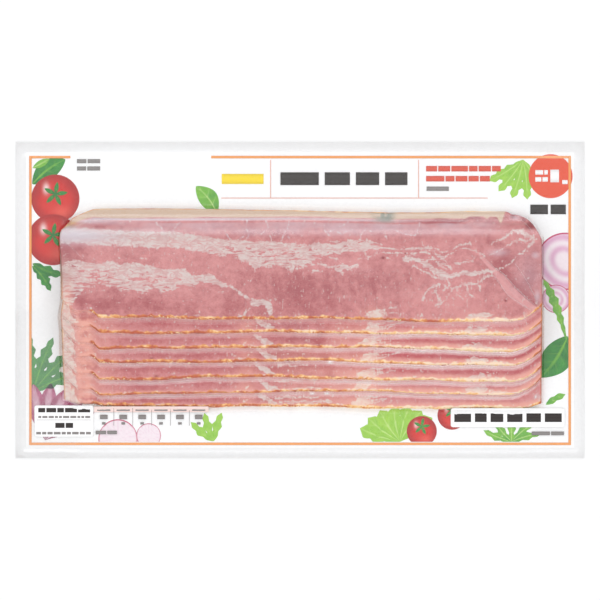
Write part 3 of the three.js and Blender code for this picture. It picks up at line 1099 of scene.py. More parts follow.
@dataclass(frozen=True)
class MeatFinish:
    """Raw smoked pork, sliced cold: moist pink lean and waxy white fat with a frayed border."""

    # Every length is in millimetres, and each run is how many times longer than wide a pattern is drawn.
    roughness: float = 0.42  # a wet cut under film
    grain: float = 0.9  # bundles of muscle fibre
    mottle: float = 2.6  # blotches in the lean
    fray: float = 1.0  # how far the fat's border wanders with the grain
    fringe_reach: float = 1.8  # how far it wanders with the fringe
    fringe: float = 0.9  # threads at the fat's border, upright
    fringe_run: float = 3.0
    cell: float = 2.2  # lobes of fat, which thin pink seams part
    cell_run: float = 2.4
    strand: float = 1.1  # lean drawn into the fat, along the slice
    strand_run: float = 4.0
    bump: float = 0.08

    def build(self, name: str) -> Material:
        """Makes the material.

        Args:
            name: The material's name.

        Returns:
            The material, which reads the numbers that Marbling lays on a mesh.
        """
        material, tree, place = new_material(name)
        add = partial(add_node, tree)
        shader = tree.nodes["Principled BSDF"]
        names = "fat strand shade red warm haze blush crust rind blood toast stain".split()
        read = {key: add("ShaderNodeAttribute", attribute_name=key).outputs["Fac"] for key in names}
        fine = add("ShaderNodeTexNoise", {"Vector": place, "Scale": 1 / (self.grain * MM), "Detail": 3.0})
        broad = add("ShaderNodeTexNoise", {"Vector": place, "Scale": 1 / (self.mottle * MM), "Detail": 2.0})

        def blend(factor: Value, first: Value, second: Value) -> NodeSocket:
            """Mixes two colours by a factor and gives the mix's output."""
            node = add("ShaderNodeMix", {0: factor, 6: first, 7: second}, data_type="RGBA")
            return node.outputs[2]

        def sum_of(value: Value, factor: Value, more: Value) -> NodeSocket:
            """Gives value times factor, plus more."""
            node = add("ShaderNodeMath", {0: value, 1: factor, 2: more}, operation="MULTIPLY_ADD")
            return node.outputs[0]

        def step(value: Value, low: float, high: float) -> NodeSocket:
            """Gives a smooth step from low to high.

            Args:
                value: What is read.
                low: Where the step starts.
                high: Where it ends.

            Returns:
                The step's output.
            """
            node = add("ShaderNodeMapRange", {"Value": value, "From Min": low, "From Max": high},
                       interpolation_type="SMOOTHSTEP")
            return node.outputs["Result"]

        drawn = add("ShaderNodeMapping", {"Vector": place, "Scale": (1 / self.strand_run, 1.0, 1.0)})
        strands = add("ShaderNodeTexNoise",
                      {"Vector": drawn.outputs["Vector"], "Scale": 1 / (self.strand * MM), "Detail": 2.0,
                       "Distortion": 0.8})
        cut = add("ShaderNodeMapRange", {"Value": strands.outputs["Fac"], "From Min": 0.42, "From Max": 0.68})
        cut = add("ShaderNodeMath", {0: cut.outputs["Result"], 1: read["strand"]}, operation="MULTIPLY")
        solid = add("ShaderNodeMath", {0: read["fat"], 1: cut.outputs[0]}, operation="SUBTRACT")
        upright = add("ShaderNodeMapping", {"Vector": place, "Scale": (1.0, 1 / self.fringe_run, 1.0)})
        fringe = add("ShaderNodeTexNoise",
                     {"Vector": upright.outputs["Vector"], "Scale": 1 / (self.fringe * MM), "Detail": 2.0})
        frayed = sum_of(fringe.outputs["Fac"], self.fringe_reach, solid.outputs[0])
        frayed = sum_of(fine.outputs["Fac"], self.fray, frayed)
        middle = (self.fray + self.fringe_reach) / 2
        fat = step(frayed, middle - 0.24, middle + 0.24)
        shade = sum_of(broad.outputs["Fac"], 0.7, sum_of(fine.outputs["Fac"], 0.5, read["shade"]))
        dark = blend(read["red"], Tint.LEAN_DARK.linear, Tint.LEAN_RED.linear)
        lean = blend(step(shade, 0.6, 1.6), Tint.LEAN_PALE.linear, dark)
        lean = blend(read["warm"], lean, Tint.LEAN_PEACH.linear)
        white = blend(read["warm"], Tint.FAT_COOL.linear, Tint.FAT_CREAM.linear)
        cells = add("ShaderNodeMapping", {"Vector": place, "Scale": (1 / self.cell_run, 1.0, 1.0)})
        web = add("ShaderNodeTexNoise", {"Vector": cells.outputs["Vector"], "Scale": 1 / (self.cell * MM),
                                         "Detail": 1.0, "Distortion": 1.2})
        ridge = add("ShaderNodeMath", {0: web.outputs["Fac"], 1: 0.5}, operation="SUBTRACT")
        ridge = add("ShaderNodeMath", {0: ridge.outputs[0]}, operation="ABSOLUTE")
        seam = add("ShaderNodeMapRange",
                   {"Value": ridge.outputs[0], "From Max": 0.1, "To Min": 0.6, "To Max": 0.0},
                   interpolation_type="SMOOTHSTEP")
        thin = sum_of(broad.outputs["Fac"], 1.5, -0.65)
        thin = add("ShaderNodeMath", {0: seam.outputs["Result"], 1: thin}, operation="MAXIMUM")
        white = blend(thin.outputs[0], white, lean)
        colour = blend(fat, lean, white)
        colour = blend(read["blood"], colour, Tint.BLOOD.linear)
        # Painted highlight under the crusts and along the film's fold, then the film's painted lilac sheen.
        colour = blend(read["blush"], colour, Tint.BLUSH.linear)
        colour = blend(read["haze"], colour, Tint.HAZE.linear)
        rind = blend(step(fine.outputs["Fac"], 0.45, 0.75), Tint.RIND.linear, Tint.RIND_LINE.linear)
        rind = blend(0.65, rind, Tint.RIND.linear)
        colour = blend(read["rind"], colour, rind)
        # Stamp ink, and grey over the painted sheen and glint line.
        colour = blend(read["stain"], colour, Tint.STAMP_AND_SHEEN_GREY.linear)
        toasted = sum_of(read["toast"], 1.0, -0.45)
        ramp = add("ShaderNodeValToRGB", {"Fac": sum_of(fine.outputs["Fac"], 0.9, toasted)})
        stops = ramp.color_ramp.elements
        stops[0].color = Tint.CRUST_BROWN.linear
        stops[0].position = 0.18
        stops[1].color = Tint.CRUST_CREAM.linear
        stops[1].position = 0.95
        stops.new(0.45).color = Tint.CRUST_ORANGE.linear
        stops.new(0.72).color = Tint.CRUST_YELLOW.linear
        colour = blend(read["crust"], colour, ramp.outputs["Color"])
        tree.links.new(colour, shader.inputs["Base Color"])
        shader.inputs["Roughness"].default_value = self.roughness
        relief = add("ShaderNodeBump",
                     {"Strength": 0.35, "Distance": self.bump * MM, "Height": fine.outputs["Fac"]})
        tree.links.new(relief.outputs["Normal"], shader.inputs["Normal"])
        return material


@dataclass(frozen=True)
class FilmFinish:
    """Clear laminate film of polyamide and polyethylene, drawn tight: a thin gloss over what it covers."""

    mirror: float = 0.03  # what a flat film mirrors
    graze: float = 0.55  # how much more it mirrors edge on
    roughness: float = 0.14
    wrinkle: float = 1.6  # ripples of tight film, in millimetres
    bump: float = 0.05
    wall: str = "f0ece8"  # a little milky where it stands steep

    def build(self, name: str) -> Material:
        """Makes the material.

        Args:
            name: The material's name.

        Returns:
            A clear material that only adds the film's gloss.
        """
        material, tree, place = new_material(name)
        add = partial(add_node, tree)
        tree.nodes.remove(tree.nodes["Principled BSDF"])
        noise = add("ShaderNodeTexNoise", {"Vector": place, "Scale": 1 / (self.wrinkle * MM), "Detail": 2.0})
        relief = add("ShaderNodeBump",
                     {"Strength": 0.4, "Distance": self.bump * MM, "Height": noise.outputs["Fac"]})
        gloss = add("ShaderNodeBsdfAnisotropic",
                    {"Color": (1, 1, 1, 1), "Roughness": self.roughness, "Normal": relief.outputs["Normal"]})
        wall = add("ShaderNodeAttribute", attribute_name="wall")
        tint = add("ShaderNodeMix", {0: wall.outputs["Fac"], 6: (1, 1, 1, 1), 7: linear(self.wall)},
                   data_type="RGBA")
        clear = add("ShaderNodeBsdfTransparent", {"Color": tint.outputs[2]})
        facing = add("ShaderNodeLayerWeight", {"Blend": 0.5, "Normal": relief.outputs["Normal"]})
        sheen = add("ShaderNodeAttribute", attribute_name="sheen")
        steep = add("ShaderNodeMath", {0: facing.outputs["Facing"], 1: 5.0}, operation="POWER")
        share = add("ShaderNodeMath", {0: steep.outputs[0], 1: self.graze, 2: self.mirror},
                    operation="MULTIPLY_ADD")
        share = add("ShaderNodeMath", {0: sheen.outputs["Fac"], 1: share.outputs[0]}, operation="ADD")
        mixed = add("ShaderNodeMixShader", {0: share.outputs[0], 1: clear.outputs[0], 2: gloss.outputs[0]})
        tree.links.new(mixed.outputs[0], tree.nodes["Material Output"].inputs["Surface"])
        return material


@dataclass(frozen=True)
class InkFinish:
    """Flat gravure ink on white laminate: each point's own colour, with a faint uneven lay."""

    roughness: float = 0.5
    lay: float = 1.2  # its unevenness in millimetres, drawn coarser than a press's dots so that it shows

    def build(self, name: str) -> Material:
        """Makes the material.

        Args:
            name: The material's name.

        Returns:
            The material, which reads the colour named ink.
        """
        material, tree, place = new_material(name)
        add = partial(add_node, tree)
        shader = tree.nodes["Principled BSDF"]
        noise = add("ShaderNodeTexNoise", {"Vector": place, "Scale": 1 / (self.lay * MM), "Detail": 3.0})
        ink = add("ShaderNodeAttribute", attribute_name="ink")
        value = add("ShaderNodeMapRange", {"Value": noise.outputs["Fac"], "To Min": 0.94, "To Max": 1.05})
        tinted = add("ShaderNodeHueSaturation",
                     {"Color": ink.outputs["Color"], "Value": value.outputs["Result"]})
        tree.links.new(tinted.outputs["Color"], shader.inputs["Base Color"])
        shader.inputs["Roughness"].default_value = self.roughness
        return material


@dataclass
class BaconSlices:
    """The seven slices, each a thin sheet of meat with soft edges, bent over those below it."""

    stack: Stack = Stack()
    marbling: Marbling = Marbling()
    spacing: float = 0.35
    coarse_rows: int = 14
    fine_depth: float = 9.0
    edge_radius: float = 0.7
    fat_radius: float = 3.0
    least_share: float = 0.16
    lower_rows: int = 8
    insets: Pair = (0.7, 1.3)

    def columns(self) -> Array:
        """The x of each column, closer together at the soft ends.

        Returns:
            Each column's x.
        """
        ends = np.array((0.0, 0.1, 0.25, 0.45))
        steps = int((self.stack.right - self.stack.left - 1.6) / self.spacing)
        middle = np.linspace(self.stack.left + 0.8, self.stack.right - 0.8, steps)
        return np.concatenate((self.stack.left + ends, middle, self.stack.right - ends[::-1]))

    def row_shares(self, index: int) -> Array:
        """How far down a slice each row lies, from 0 at its rind edge to 1 at its front edge.

        Args:
            index: Which slice, 0 on top.

        Returns:
            Each row's share.
        """
        height = self.stack.rind_y - self.stack.front_y
        border = np.array((0.0, 0.06, 0.16, 0.32)) / height
        fine_from = 0.5 / height if index == 0 else 1 - self.fine_depth / height
        coarse = np.linspace(0.5 / height, fine_from, self.coarse_rows if index else 1, endpoint=False)
        fine = np.arange(fine_from, 1 - 0.5 / height, self.spacing / height)
        return np.concatenate((border, coarse if index else [], fine, 1 - border[::-1]))

    def softness(self, x: Array, y: Array, index: int) -> Array:
        """How much of its thickness a slice has near its edges.

        Args:
            x: The points' x.
            y: The points' y.
            index: Which slice, 0 on top.

        Returns:
            A number from 0 to 1 for each point.
        """
        edge = np.minimum(self.stack.rind_edge(x, index) - y, y - self.stack.front_edge(x, index))
        radius = self.edge_radius + (self.fat_radius - self.edge_radius) * fade(x, -93.0, -87.0)
        across = np.clip(edge / radius, 0.0, 1.0)
        ends = np.minimum(x - self.stack.left, self.stack.right - x)
        along = np.clip(ends / self.edge_radius, 0.0, 1.0)
        full = np.sqrt(1 - (1 - across) ** 2) * np.maximum(np.sqrt(1 - (1 - along) ** 2), self.least_share)
        return full

    def build_slice(self, index: int, material: Material) -> Object:
        """Makes one slice.

        Args:
            index: Which slice, 0 on top.
            material: The meat.

        Returns:
            The finished piece, which replaces its plain solid.
        """
        x = self.columns()
        shares = self.row_shares(index)
        rind = self.stack.rind_edge(x, index)
        front = self.stack.front_edge(x, index)
        upper_x, upper_y = self.sheet(x, rind, front, shares)
        lower_shares = np.linspace(0.0, 1.0, self.lower_rows)
        lower_x, lower_y = self.sheet(x, rind, front, lower_shares)
        missing = self.stack.thickness * (1 - self.softness(upper_x, upper_y, index))
        upper_z = self.stack.top(upper_x, upper_y, index) - missing
        lower_z = self.stack.top(lower_x, lower_y, index) - self.stack.thickness
        inner = slice(1, self.lower_rows - 1)
        points = np.concatenate((
            np.stack((upper_x, upper_y, upper_z), axis=2).reshape(-1, 3),
            np.stack((lower_x, lower_y, lower_z), axis=2)[:, inner].reshape(-1, 3),
        ))
        faces = self.faces(len(x), len(shares))
        settled = points.copy()
        settled[:, 0] = self.stack.settle(points[:, 0], points[:, 1], self.insets[min(index, 1)])
        piece = mesh_object(f"slice_{index + 1}", settled, faces)
        put_values(piece, self.marbling.values(points[:, 0], points[:, 1], index))
        piece.data.materials.append(material)
        return finish_piece(piece, "slice", f"bacon_slice_{index + 1}")

    @staticmethod
    def sheet(x: Array, rind: Array, front: Array, shares: Array) -> tuple[Array, Array]:
        """The x and y of a grid of points between a slice's two long edges."""
        y = rind[:, None] + (front - rind)[:, None] * shares[None, :]
        return np.repeat(x[:, None], len(shares), axis=1), y

    def faces(self, columns: int, rows: int) -> list[tuple[int, ...]]:
        """Faces of the closed sheet: the upper grid, the lower one and a cap at each end.

        Args:
            columns: How many columns both grids have.
            rows: How many rows the upper grid has.

        Returns:
            The corners of each face.
        """
        inner = self.lower_rows - 2
        start = columns * rows

        def lower(i: int) -> list[int]:
            """The points of one lower column, its two edge points shared with the upper grid."""
            return [i * rows, *range(start + i * inner, start + (i + 1) * inner), i * rows + rows - 1]

        faces = grid_faces(columns, rows)
        for i in range(columns - 1):
            here, there = lower(i), lower(i + 1)
            faces += [(here[j], there[j], there[j + 1], here[j + 1]) for j in range(self.lower_rows - 1)]
        first, last = lower(0), lower(columns - 1)
        upper_last = range((columns - 1) * rows, columns * rows)
        faces.append(tuple([*first, *reversed(range(1, rows - 1))]))
        faces.append(tuple([*upper_last, *reversed(last[1:-1])]))
        return faces

    def build(self, finish: MeatFinish) -> list[Object]:
        """Makes every slice from one material."""
        material = finish.build("sliced_bacon")
        return [self.build_slice(index, material) for index in range(self.stack.count)]


@dataclass
class WindowFilm:
    """The clear film over the slices: drawn down each step in a fillet, and sealed all round."""

    stack: Stack = Stack()
    half_width: float = WEB_HALF_WIDTH
    half_height: float = WEB_HALF_HEIGHT
    lift: float = 0.26
    thickness: float = 0.1
    seal_z: float = 0.82
    reach: float = 0.3
    inset: float = 0.9
    wall_run: float = 2.0
    side_run: float = 0.9
    drop_power: float = 1.6
    step_run: float = 2.6
    column_spacing: float = 0.85
    row_spacing: float = 0.85

    def span(self, start: Array, end: Array, shares: Sequence[float]) -> list[Array]:
        """Rows between two lines, one for each share of the way."""
        return [start + (end - start) * share for share in shares]

    def column_lines(self, edge_x: Array) -> tuple[Array, Array]:
        """The y and z of every film row over the slices, for each column.

        Args:
            edge_x: Where each column reads the slices' edges.

        Returns:
            Two arrays with one row for each column of the film.
        """
        stack = self.stack
        rind = stack.rind_edge(edge_x, 0)
        top_row = rind + self.reach
        foot = top_row + self.wall_run
        top_z = stack.top(edge_x, rind, 0) + self.lift
        lines: list[tuple[Array, Array]] = []
        for y in self.span(np.full_like(edge_x, self.half_height), foot, (0.0, 0.3, 0.6, 0.85, 1.0)):
            lines.append((y, np.full_like(edge_x, self.seal_z)))
        for share in (0.3, 0.6, 0.85, 1.0):
            z = self.seal_z + (top_z - self.seal_z) * share**self.drop_power
            lines.append((foot + (top_row - foot) * share, z))
        front = stack.front_edge(edge_x, 0) - self.reach
        count = int((stack.rind_y - stack.front_y) / self.row_spacing)
        for y in self.span(rind, front, np.linspace(0.0, 1.0, count)):
            lines.append((y, stack.top(edge_x, y, 0) + self.lift + self.slack(edge_x, y)))
        for index in range(1, stack.count):
            next_front = stack.front_edge(edge_x, index) - self.reach
            landing = front - self.step_run
            for share in (0.08, 0.2, 0.34, 0.5, 0.68, 0.85, 1.0):
                y = front + (landing - front) * share
                hang = (stack.thickness + stack.gap) * (1 - share) ** 2
                hang = hang + 0.07 * ripple(edge_x, y, 1.8, 700 + index) * (1 - share)
                lines.append((y, stack.top(edge_x, y, index) + self.lift + hang + self.slack(edge_x, y)))
            for y in self.span(landing, next_front, (0.2, 0.4, 0.6, 0.8, 1.0)):
                lines.append((y, stack.top(edge_x, y, index) + self.lift + self.slack(edge_x, y)))
            front = next_front
        last_z = lines[-1][1]
        foot = front - self.wall_run
        for share in (0.15, 0.4, 0.7, 1.0):
            z = self.seal_z + (last_z - self.seal_z) * (1 - share) ** self.drop_power
            lines.append((front + (foot - front) * share, z))
        for y in self.span(foot, np.full_like(edge_x, -self.half_height), (0.15, 0.4, 0.7, 1.0)):
            lines.append((y, np.full_like(edge_x, self.seal_z)))
        return np.stack([y for y, _ in lines], axis=1), np.stack([z for _, z in lines], axis=1)

    @staticmethod
    def slack(x: Array, y: Array) -> Array:
        """Small loose waves in the film, from 0 up."""
        return 0.05 * (1 + ripple(x, y, 5.5, 801, stretch=1.6)) + 0.03 * (1 + ripple(x, y, 1.9, 811))

    def sheen(self, x: Array, y: Array) -> Array:
        """How much more the film shines along the fillet under each step.

        Args:
            x: The points' x.
            y: The points' y.

        Returns:
            A number from 0 to 1 for each point.
        """
        sheen = np.zeros_like(x)
        inside = smoothstep(x, self.stack.left + 8.0, self.stack.left + 16.0) * fade(x, 102.0, 106.0)
        for index, look in enumerate(STRIPS[1:], start=1):
            below = self.stack.front_edge(x, index - 1) - y
            gleams = (look.gleam_left, look.gleam_left * 0.7, look.gleam_right)
            bright = np.interp(x, (-60.0, -10.0, 45.0), gleams)
            bright = bright * (0.9 + 0.4 * ripple(x, x * 0, 6.0, 950 + index, octaves=3))
            sheen = np.maximum(sheen, bright * inside * bell(below - look.gleam_at, 0.65))
        milky = 0.05 * fade(x, -100.0, -95.0) * fade(y, -6.0, -3.0)
        glints = [0.8 * mound(x, y, place, (1.1, 0.5)) for place in GLINTS]
        return np.maximum.reduce([sheen, milky, *glints])

    def surface(self) -> tuple[Array, Array, Array]:
        """The x, y and z of the film's upper face, a grid of columns from left to right.

        Returns:
            Three arrays, with one row for each column of the film.
        """
        stack = self.stack
        inner = np.linspace(stack.left, stack.right, int((stack.right - stack.left) / self.column_spacing))
        y, z = self.column_lines(inner)
        xs = [inner]
        for side, end_x, edge in ((0, stack.left, -self.half_width), (1, stack.right, self.half_width)):
            outward = -1.0 if side == 0 else 1.0
            end_column = 0 if side == 0 else -1
            end_y, end_z = y[end_column], z[end_column]
            drops = (0.0, 0.15, 0.4, 0.7, 1.0)
            wall = [end_x + outward * (self.reach + self.side_run * share) for share in drops]
            lift = [(1 - share) ** self.drop_power for share in drops]
            flat = [wall[-1] + (edge - wall[-1]) * share for share in (0.25, 0.5, 0.75, 1.0)]
            new_x = np.array(wall + flat)
            new_z = self.seal_z + np.array(lift + [0.0] * len(flat))[:, None] * (end_z - self.seal_z)[None, :]
            new_y = np.repeat(end_y[None, :], len(new_x), axis=0)
            if side == 0:
                new_x, new_y, new_z = new_x[::-1], new_y[::-1], new_z[::-1]
                xs, y, z = [new_x, *xs], np.concatenate((new_y, y)), np.concatenate((new_z, z))
            else:
                xs, y, z = [*xs, new_x], np.concatenate((y, new_y)), np.concatenate((z, new_z))
        x = np.repeat(np.concatenate(xs)[:, None], y.shape[1], axis=1)
        return stack.settle(x, y, self.inset), y, z

    def build(self, finish: FilmFinish) -> Object:
        """Makes the film as a closed thin shell, and stores where it stands steep and where it shines.

        Args:
            finish: The film's gloss.

        Returns:
            The finished piece.
        """
        x, y, z = self.surface()
        points, faces = closed_sheet(x, y, z, self.thickness)
        piece = mesh_object("window_film", points, faces)
        slope = np.abs(np.gradient(z, axis=0)) / np.maximum(np.abs(np.gradient(x, axis=0)), 0.01)
        wall = smoothstep(slope, 1.5, 6.0)
        put_values(piece, {"wall": np.tile(wall.ravel(), 2), "sheen": np.tile(self.sheen(x, y).ravel(), 2)})
        piece.data.materials.append(finish.build("clear_film_gloss"))
        return finish_piece(piece, "film", "clear_film")


class Ink(Colour):
    """Inks of the print."""

    WHITE = "ffffff"
    SEAL_GREY = "f4f4f4"
    FRAME = "faa65e"
    RULE = "f0b6a6"
    HEADER = "fbe0da"
    BLACK = "2c2421"
    GREY = "8d8886"
    WARM_RED = "e4573f"
    BADGE = "ea5433"
    YELLOW = "ffe21a"
    RED = "d9261f"
    RED_DEEP = "ad1a1c"
    RED_LIGHT = "ee5f50"
    GLINT = "fbe6e3"
    GREEN_DEEP = "1d6a33"
    GREEN = "3c9a3a"
    GREEN_LIGHT = "86c440"
    LIME = "a9d84c"
    LIME_PALE = "d5ee9a"
    PLUM = "7d1f45"
    PLUM_LIGHT = "b8507c"
    PETAL = "f3d9e4"
    MAGENTA = "c61f62"
    PINK = "e3a9cb"
    PINK_PALE = "f9ebf1"


def ink(colour: Ink) -> Array:
    """The linear colour of an ink."""
    return np.array(colour.linear)


def lay_over(under: Array, over: Ink, share: Array) -> Array:
    """Lays an ink over colours, more where its share nears 1."""
    share = np.clip(share, 0.0, 1.0)[..., None]
    return under * (1 - share) + ink(over) * share


class RoundLook(Enum):
    """What a printed round shows."""

    FRUIT = "ripe fruit"
    RINGS = "cut rings"
    PALE = "pale slice"
    BADGE = "plain badge"


class BladeLook(Enum):
    """What a printed blade shows: its deep ink, its main ink and its vein."""

    DEEP = (Ink.GREEN_DEEP, Ink.GREEN, Ink.GREEN_LIGHT)
    FRESH = (Ink.GREEN, Ink.GREEN_LIGHT, Ink.LIME_PALE)
    LIME = (Ink.GREEN_LIGHT, Ink.LIME, Ink.LIME_PALE)
    PLUM = (Ink.PLUM, Ink.PLUM_LIGHT, Ink.PETAL)


@dataclass(frozen=True)
class PrintField:
    """The part of the pack that takes ink, inside the frame line."""

    half_width: float = 117.9
    half_height: float = 62.3
    first_level: float = 0.515
    level_step: float = 0.012

    def height(self, level: int) -> float:
        """The height of the ink on this level."""
        return self.first_level + level * self.level_step


@dataclass(frozen=True)
class Round:
    """A round of ink, cut off where it meets the frame line."""

    middle: Pair
    radius: float
    look: RoundLook
    level: int = 0
    cell: float = 0.42

    def sheet(self, area: PrintField) -> tuple[Array, Array, Array]:
        """The grid of the round and its colours.

        Args:
            area: Where ink may lie.

        Returns:
            The x and y of each point, and its colour.
        """
        reach = self.radius * 0.999
        whole = self.look is RoundLook.BADGE
        half_height = math.inf if whole else area.half_height
        half_width = math.inf if whole else area.half_width
        low = max(self.middle[1] - reach, -half_height)
        high = min(self.middle[1] + reach, half_height)
        rows = max(int((high - low) / self.cell), 6)
        y = (low + high) / 2 + (high - low) / 2 * np.sin(np.linspace(-1.0, 1.0, rows) * math.pi / 2)
        chord = np.sqrt(self.radius**2 - (y - self.middle[1]) ** 2)
        left = np.maximum(self.middle[0] - chord, -half_width)
        right = np.minimum(self.middle[0] + chord, half_width)
        share = np.linspace(0.0, 1.0, rows)[:, None]
        x = left + (right - left) * share
        y = np.repeat(y[None, ::-1], len(share), axis=0)
        x = x[:, ::-1]
        return x, y, self.colours((x - self.middle[0]) / self.radius, (y - self.middle[1]) / self.radius)

    def colours(self, x: Array, y: Array) -> Array:
        """The colour of each point.

        Args:
            x: The points' x from the round's middle, in radii.
            y: The points' y from the round's middle, in radii.

        Returns:
            Linear colours.
        """
        r = np.hypot(x, y)
        base = np.ones(x.shape + (1,))
        if self.look is RoundLook.BADGE:
            return base * ink(Ink.BADGE)
        if self.look is RoundLook.FRUIT:
            colour = lay_over(base * ink(Ink.RED), Ink.RED_DEEP, 0.9 * smoothstep(r, 0.5, 1.0))
            folds = np.abs(np.sin(1.5 * np.arctan2(y, x) + 0.5)) ** 8 * smoothstep(r, 0.25, 0.9)
            colour = lay_over(colour, Ink.RED_DEEP, 0.55 * folds)
            colour = lay_over(colour, Ink.RED_LIGHT, 0.8 * mound(x, y, (0.25, -0.55), (0.42, 0.25)))
            return lay_over(colour, Ink.GLINT, 0.95 * mound(x, y, (-0.38, 0.42), (0.12, 0.2)))
        if self.look is RoundLook.RINGS:
            wave = 0.5 + 0.5 * np.cos(15.0 * (r + 0.05 * np.sin(2 * np.arctan2(y, x))))
            colour = lay_over(base * ink(Ink.PINK_PALE), Ink.PINK, 0.9 * wave * smoothstep(r, 0.15, 0.5))
            return lay_over(colour, Ink.MAGENTA, smoothstep(r, 0.93, 0.97))
        rays = np.abs(np.sin(9.0 * np.arctan2(y, x))) ** 10 * smoothstep(r, 0.1, 0.4)
        colour = lay_over(base * ink(Ink.PINK_PALE), Ink.PINK, 0.22 * rays)
        return lay_over(colour, Ink.MAGENTA, smoothstep(r, 0.93, 0.965))


@dataclass(frozen=True)
class Blade:
    """A leaf of ink from its base to its tip, with a midrib, side veins and, on some, teeth."""

    base: Pair
    tip: Pair
    width: float
    look: BladeLook
    level: int = 0
    bend: float = 0.0
    teeth: int = 0
    belly: float = 1.0
    cell: float = 0.42

    def sheet(self, area: PrintField) -> tuple[Array, Array, Array]:
        """The grid of the leaf and its colours.

        Args:
            area: Where ink may lie.

        Returns:
            The x and y of each point, and its colour.
        """
        base, tip = np.array(self.base), np.array(self.tip)
        length = float(np.hypot(*(tip - base)))
        along = (tip - base) / length
        across = np.array((-along[1], along[0]))
        steps = max(int(length / self.cell), 8)
        sides = max(int(self.width / self.cell), 6)
        t = np.linspace(0.0, 1.0, steps)[:, None]
        v = np.linspace(-1.0, 1.0, sides)[None, :]
        half = self.width / 2 * (0.03 + np.sin(math.pi * t**self.belly) ** 0.8)
        if self.teeth:
            saw = np.abs(((t * self.teeth) % 1.0) - 0.5) * 2
            half = half * (1.0 - 0.45 * saw * smoothstep(t, 0.08, 0.25))
        lean = 0.25 * half * np.abs(v) * bool(self.teeth)
        sideways = v * half + self.bend * np.sin(math.pi * t)
        forward = t * length + lean
        x = base[0] + along[0] * forward + across[0] * sideways
        y = base[1] + along[1] * forward + across[1] * sideways
        x = np.clip(x, -area.half_width, area.half_width)
        y = np.clip(y, -area.half_height, area.half_height)
        return x, y, self.colours(t + 0 * v, v + 0 * t, length)

    def colours(self, t: Array, v: Array, length: float) -> Array:
        """The colour of each point.

        Args:
            t: How far along the leaf the points lie, from 0 to 1.
            v: How far across it, from -1 to 1.
            length: The leaf's length.

        Returns:
            Linear colours.
        """
        deep, main, vein = self.look.value
        mottle = 0.5 + 0.45 * ripple(t * length, v * self.width / 2, 3.0, int(97 + 10 * length))
        colour = lay_over(np.ones(t.shape + (1,)) * ink(main), deep, mottle * (0.9 - 0.4 * t))
        count = max(length / 4.2, 3.0)
        side = np.abs(((t * count - 0.55 * np.abs(v) * count / 3.0) % 1.0) - 0.5) * 2
        colour = lay_over(colour, vein, 0.5 * smoothstep(side, 0.82, 1.0) * (1 - np.abs(v)))
        rib = 0.55 if self.look is BladeLook.PLUM else 0.12
        return lay_over(colour, vein, 0.95 * fade(np.abs(v), rib * 0.4, rib) * (1 - 0.75 * t))


@dataclass(frozen=True)
class Fan:
    """Leaves that spread from one root, each turned to its own angle in degrees."""

    middle: Pair
    reach: Pair
    angles: tuple[int, ...]
    width: float
    look: BladeLook
    levels: tuple[int, ...]
    bend: float
    teeth: int = 0
    belly: float = 1.0
    root: float = 0.0

    def blades(self) -> list[Blade]:
        """Lays out the fan.

        Returns:
            Its leaves, in the order of its angles, with the levels taken in turn.
        """
        blades = []
        for n, angle in enumerate(self.angles):
            turn = math.radians(angle)
            tip = (self.middle[0] + self.reach[0] * math.cos(turn),
                   self.middle[1] + self.reach[1] * math.sin(turn))
            level = self.levels[n % len(self.levels)]
            base = (round(self.middle[0] + self.root, 3), self.middle[1])
            blades.append(Blade(base, tip, self.width, self.look, level, self.bend, self.teeth, self.belly))
        return blades


@dataclass(frozen=True)
class Bar:
    """A straight stroke of ink, such as a rule or a bar that stands for a word."""

    start: Pair
    end: Pair
    width: float
    colour: Ink
    on_film: bool = False


def word_bars(x: Pair, y: float, height: float, colour: Ink, words: int = 0, gap: float = 0.5) -> list[Bar]:
    """Bars that stand for a line of words.

    Args:
        x: Where the line starts and ends.
        y: Its middle height.
        height: How tall the bars are.
        colour: Their ink.
        words: How many bars, or 0 to take as many as bars of about twice their height.
        gap: The space between two bars.

    Returns:
        The bars from left to right.
    """
    words = words or max(1, round((x[1] - x[0]) / (2.0 * height + gap)))
    random = np.random.default_rng(int(abs(x[0] * 10) + abs(y * 7)))
    ends = np.cumsum(random.uniform(0.6, 1.4, words))
    ends = x[0] + (x[1] - x[0] + gap) * np.concatenate(([0.0], ends / ends[-1]))
    return [Bar((a, y), (b - gap, y), height, colour) for a, b in zip(ends, ends[1:])]


def start_tree(name: str, kinds: Mapping[str, str]) -> tuple[NodeTree, dict[str, str], Mapping]:
    """Starts a geometry tree with named inputs.

    Args:
        name: The tree's name.
        kinds: The kind of each input by name.

    Returns:
        The tree, the identifier of each input by name, and the sockets that give the inputs inside it.
    """
    tree = bpy.data.node_groups.new(name, "GeometryNodeTree")
    sockets = {}
    for key, kind in kinds.items():
        socket = tree.interface.new_socket(key, in_out="INPUT", socket_type=f"NodeSocket{kind}")
        sockets[key] = socket.identifier
    tree.interface.new_socket("Geometry", in_out="OUTPUT", socket_type="NodeSocketGeometry")
    return tree, sockets, add_node(tree, "NodeGroupInput").outputs


def end_tree(tree: NodeTree, geometry: NodeSocket, material: NodeSocket) -> None:
    """Makes instances real, sets their material and gives them out.

    Args:
        tree: The tree.
        geometry: What it has made.
        material: The material that it was given.
    """
    real = add_node(tree, "GeometryNodeRealizeInstances", {"Geometry": geometry})
    given = {"Geometry": real.outputs["Geometry"], "Material": material}
    dressed = add_node(tree, "GeometryNodeSetMaterial", given)
    add_node(tree, "NodeGroupOutput", {"Geometry": dressed.outputs["Geometry"]})


class Profile(Enum):
    """What is swept along a path."""

    FLAT = "GeometryNodeCurvePrimitiveQuadrilateral"
    ROUND = "GeometryNodeCurvePrimitiveCircle"


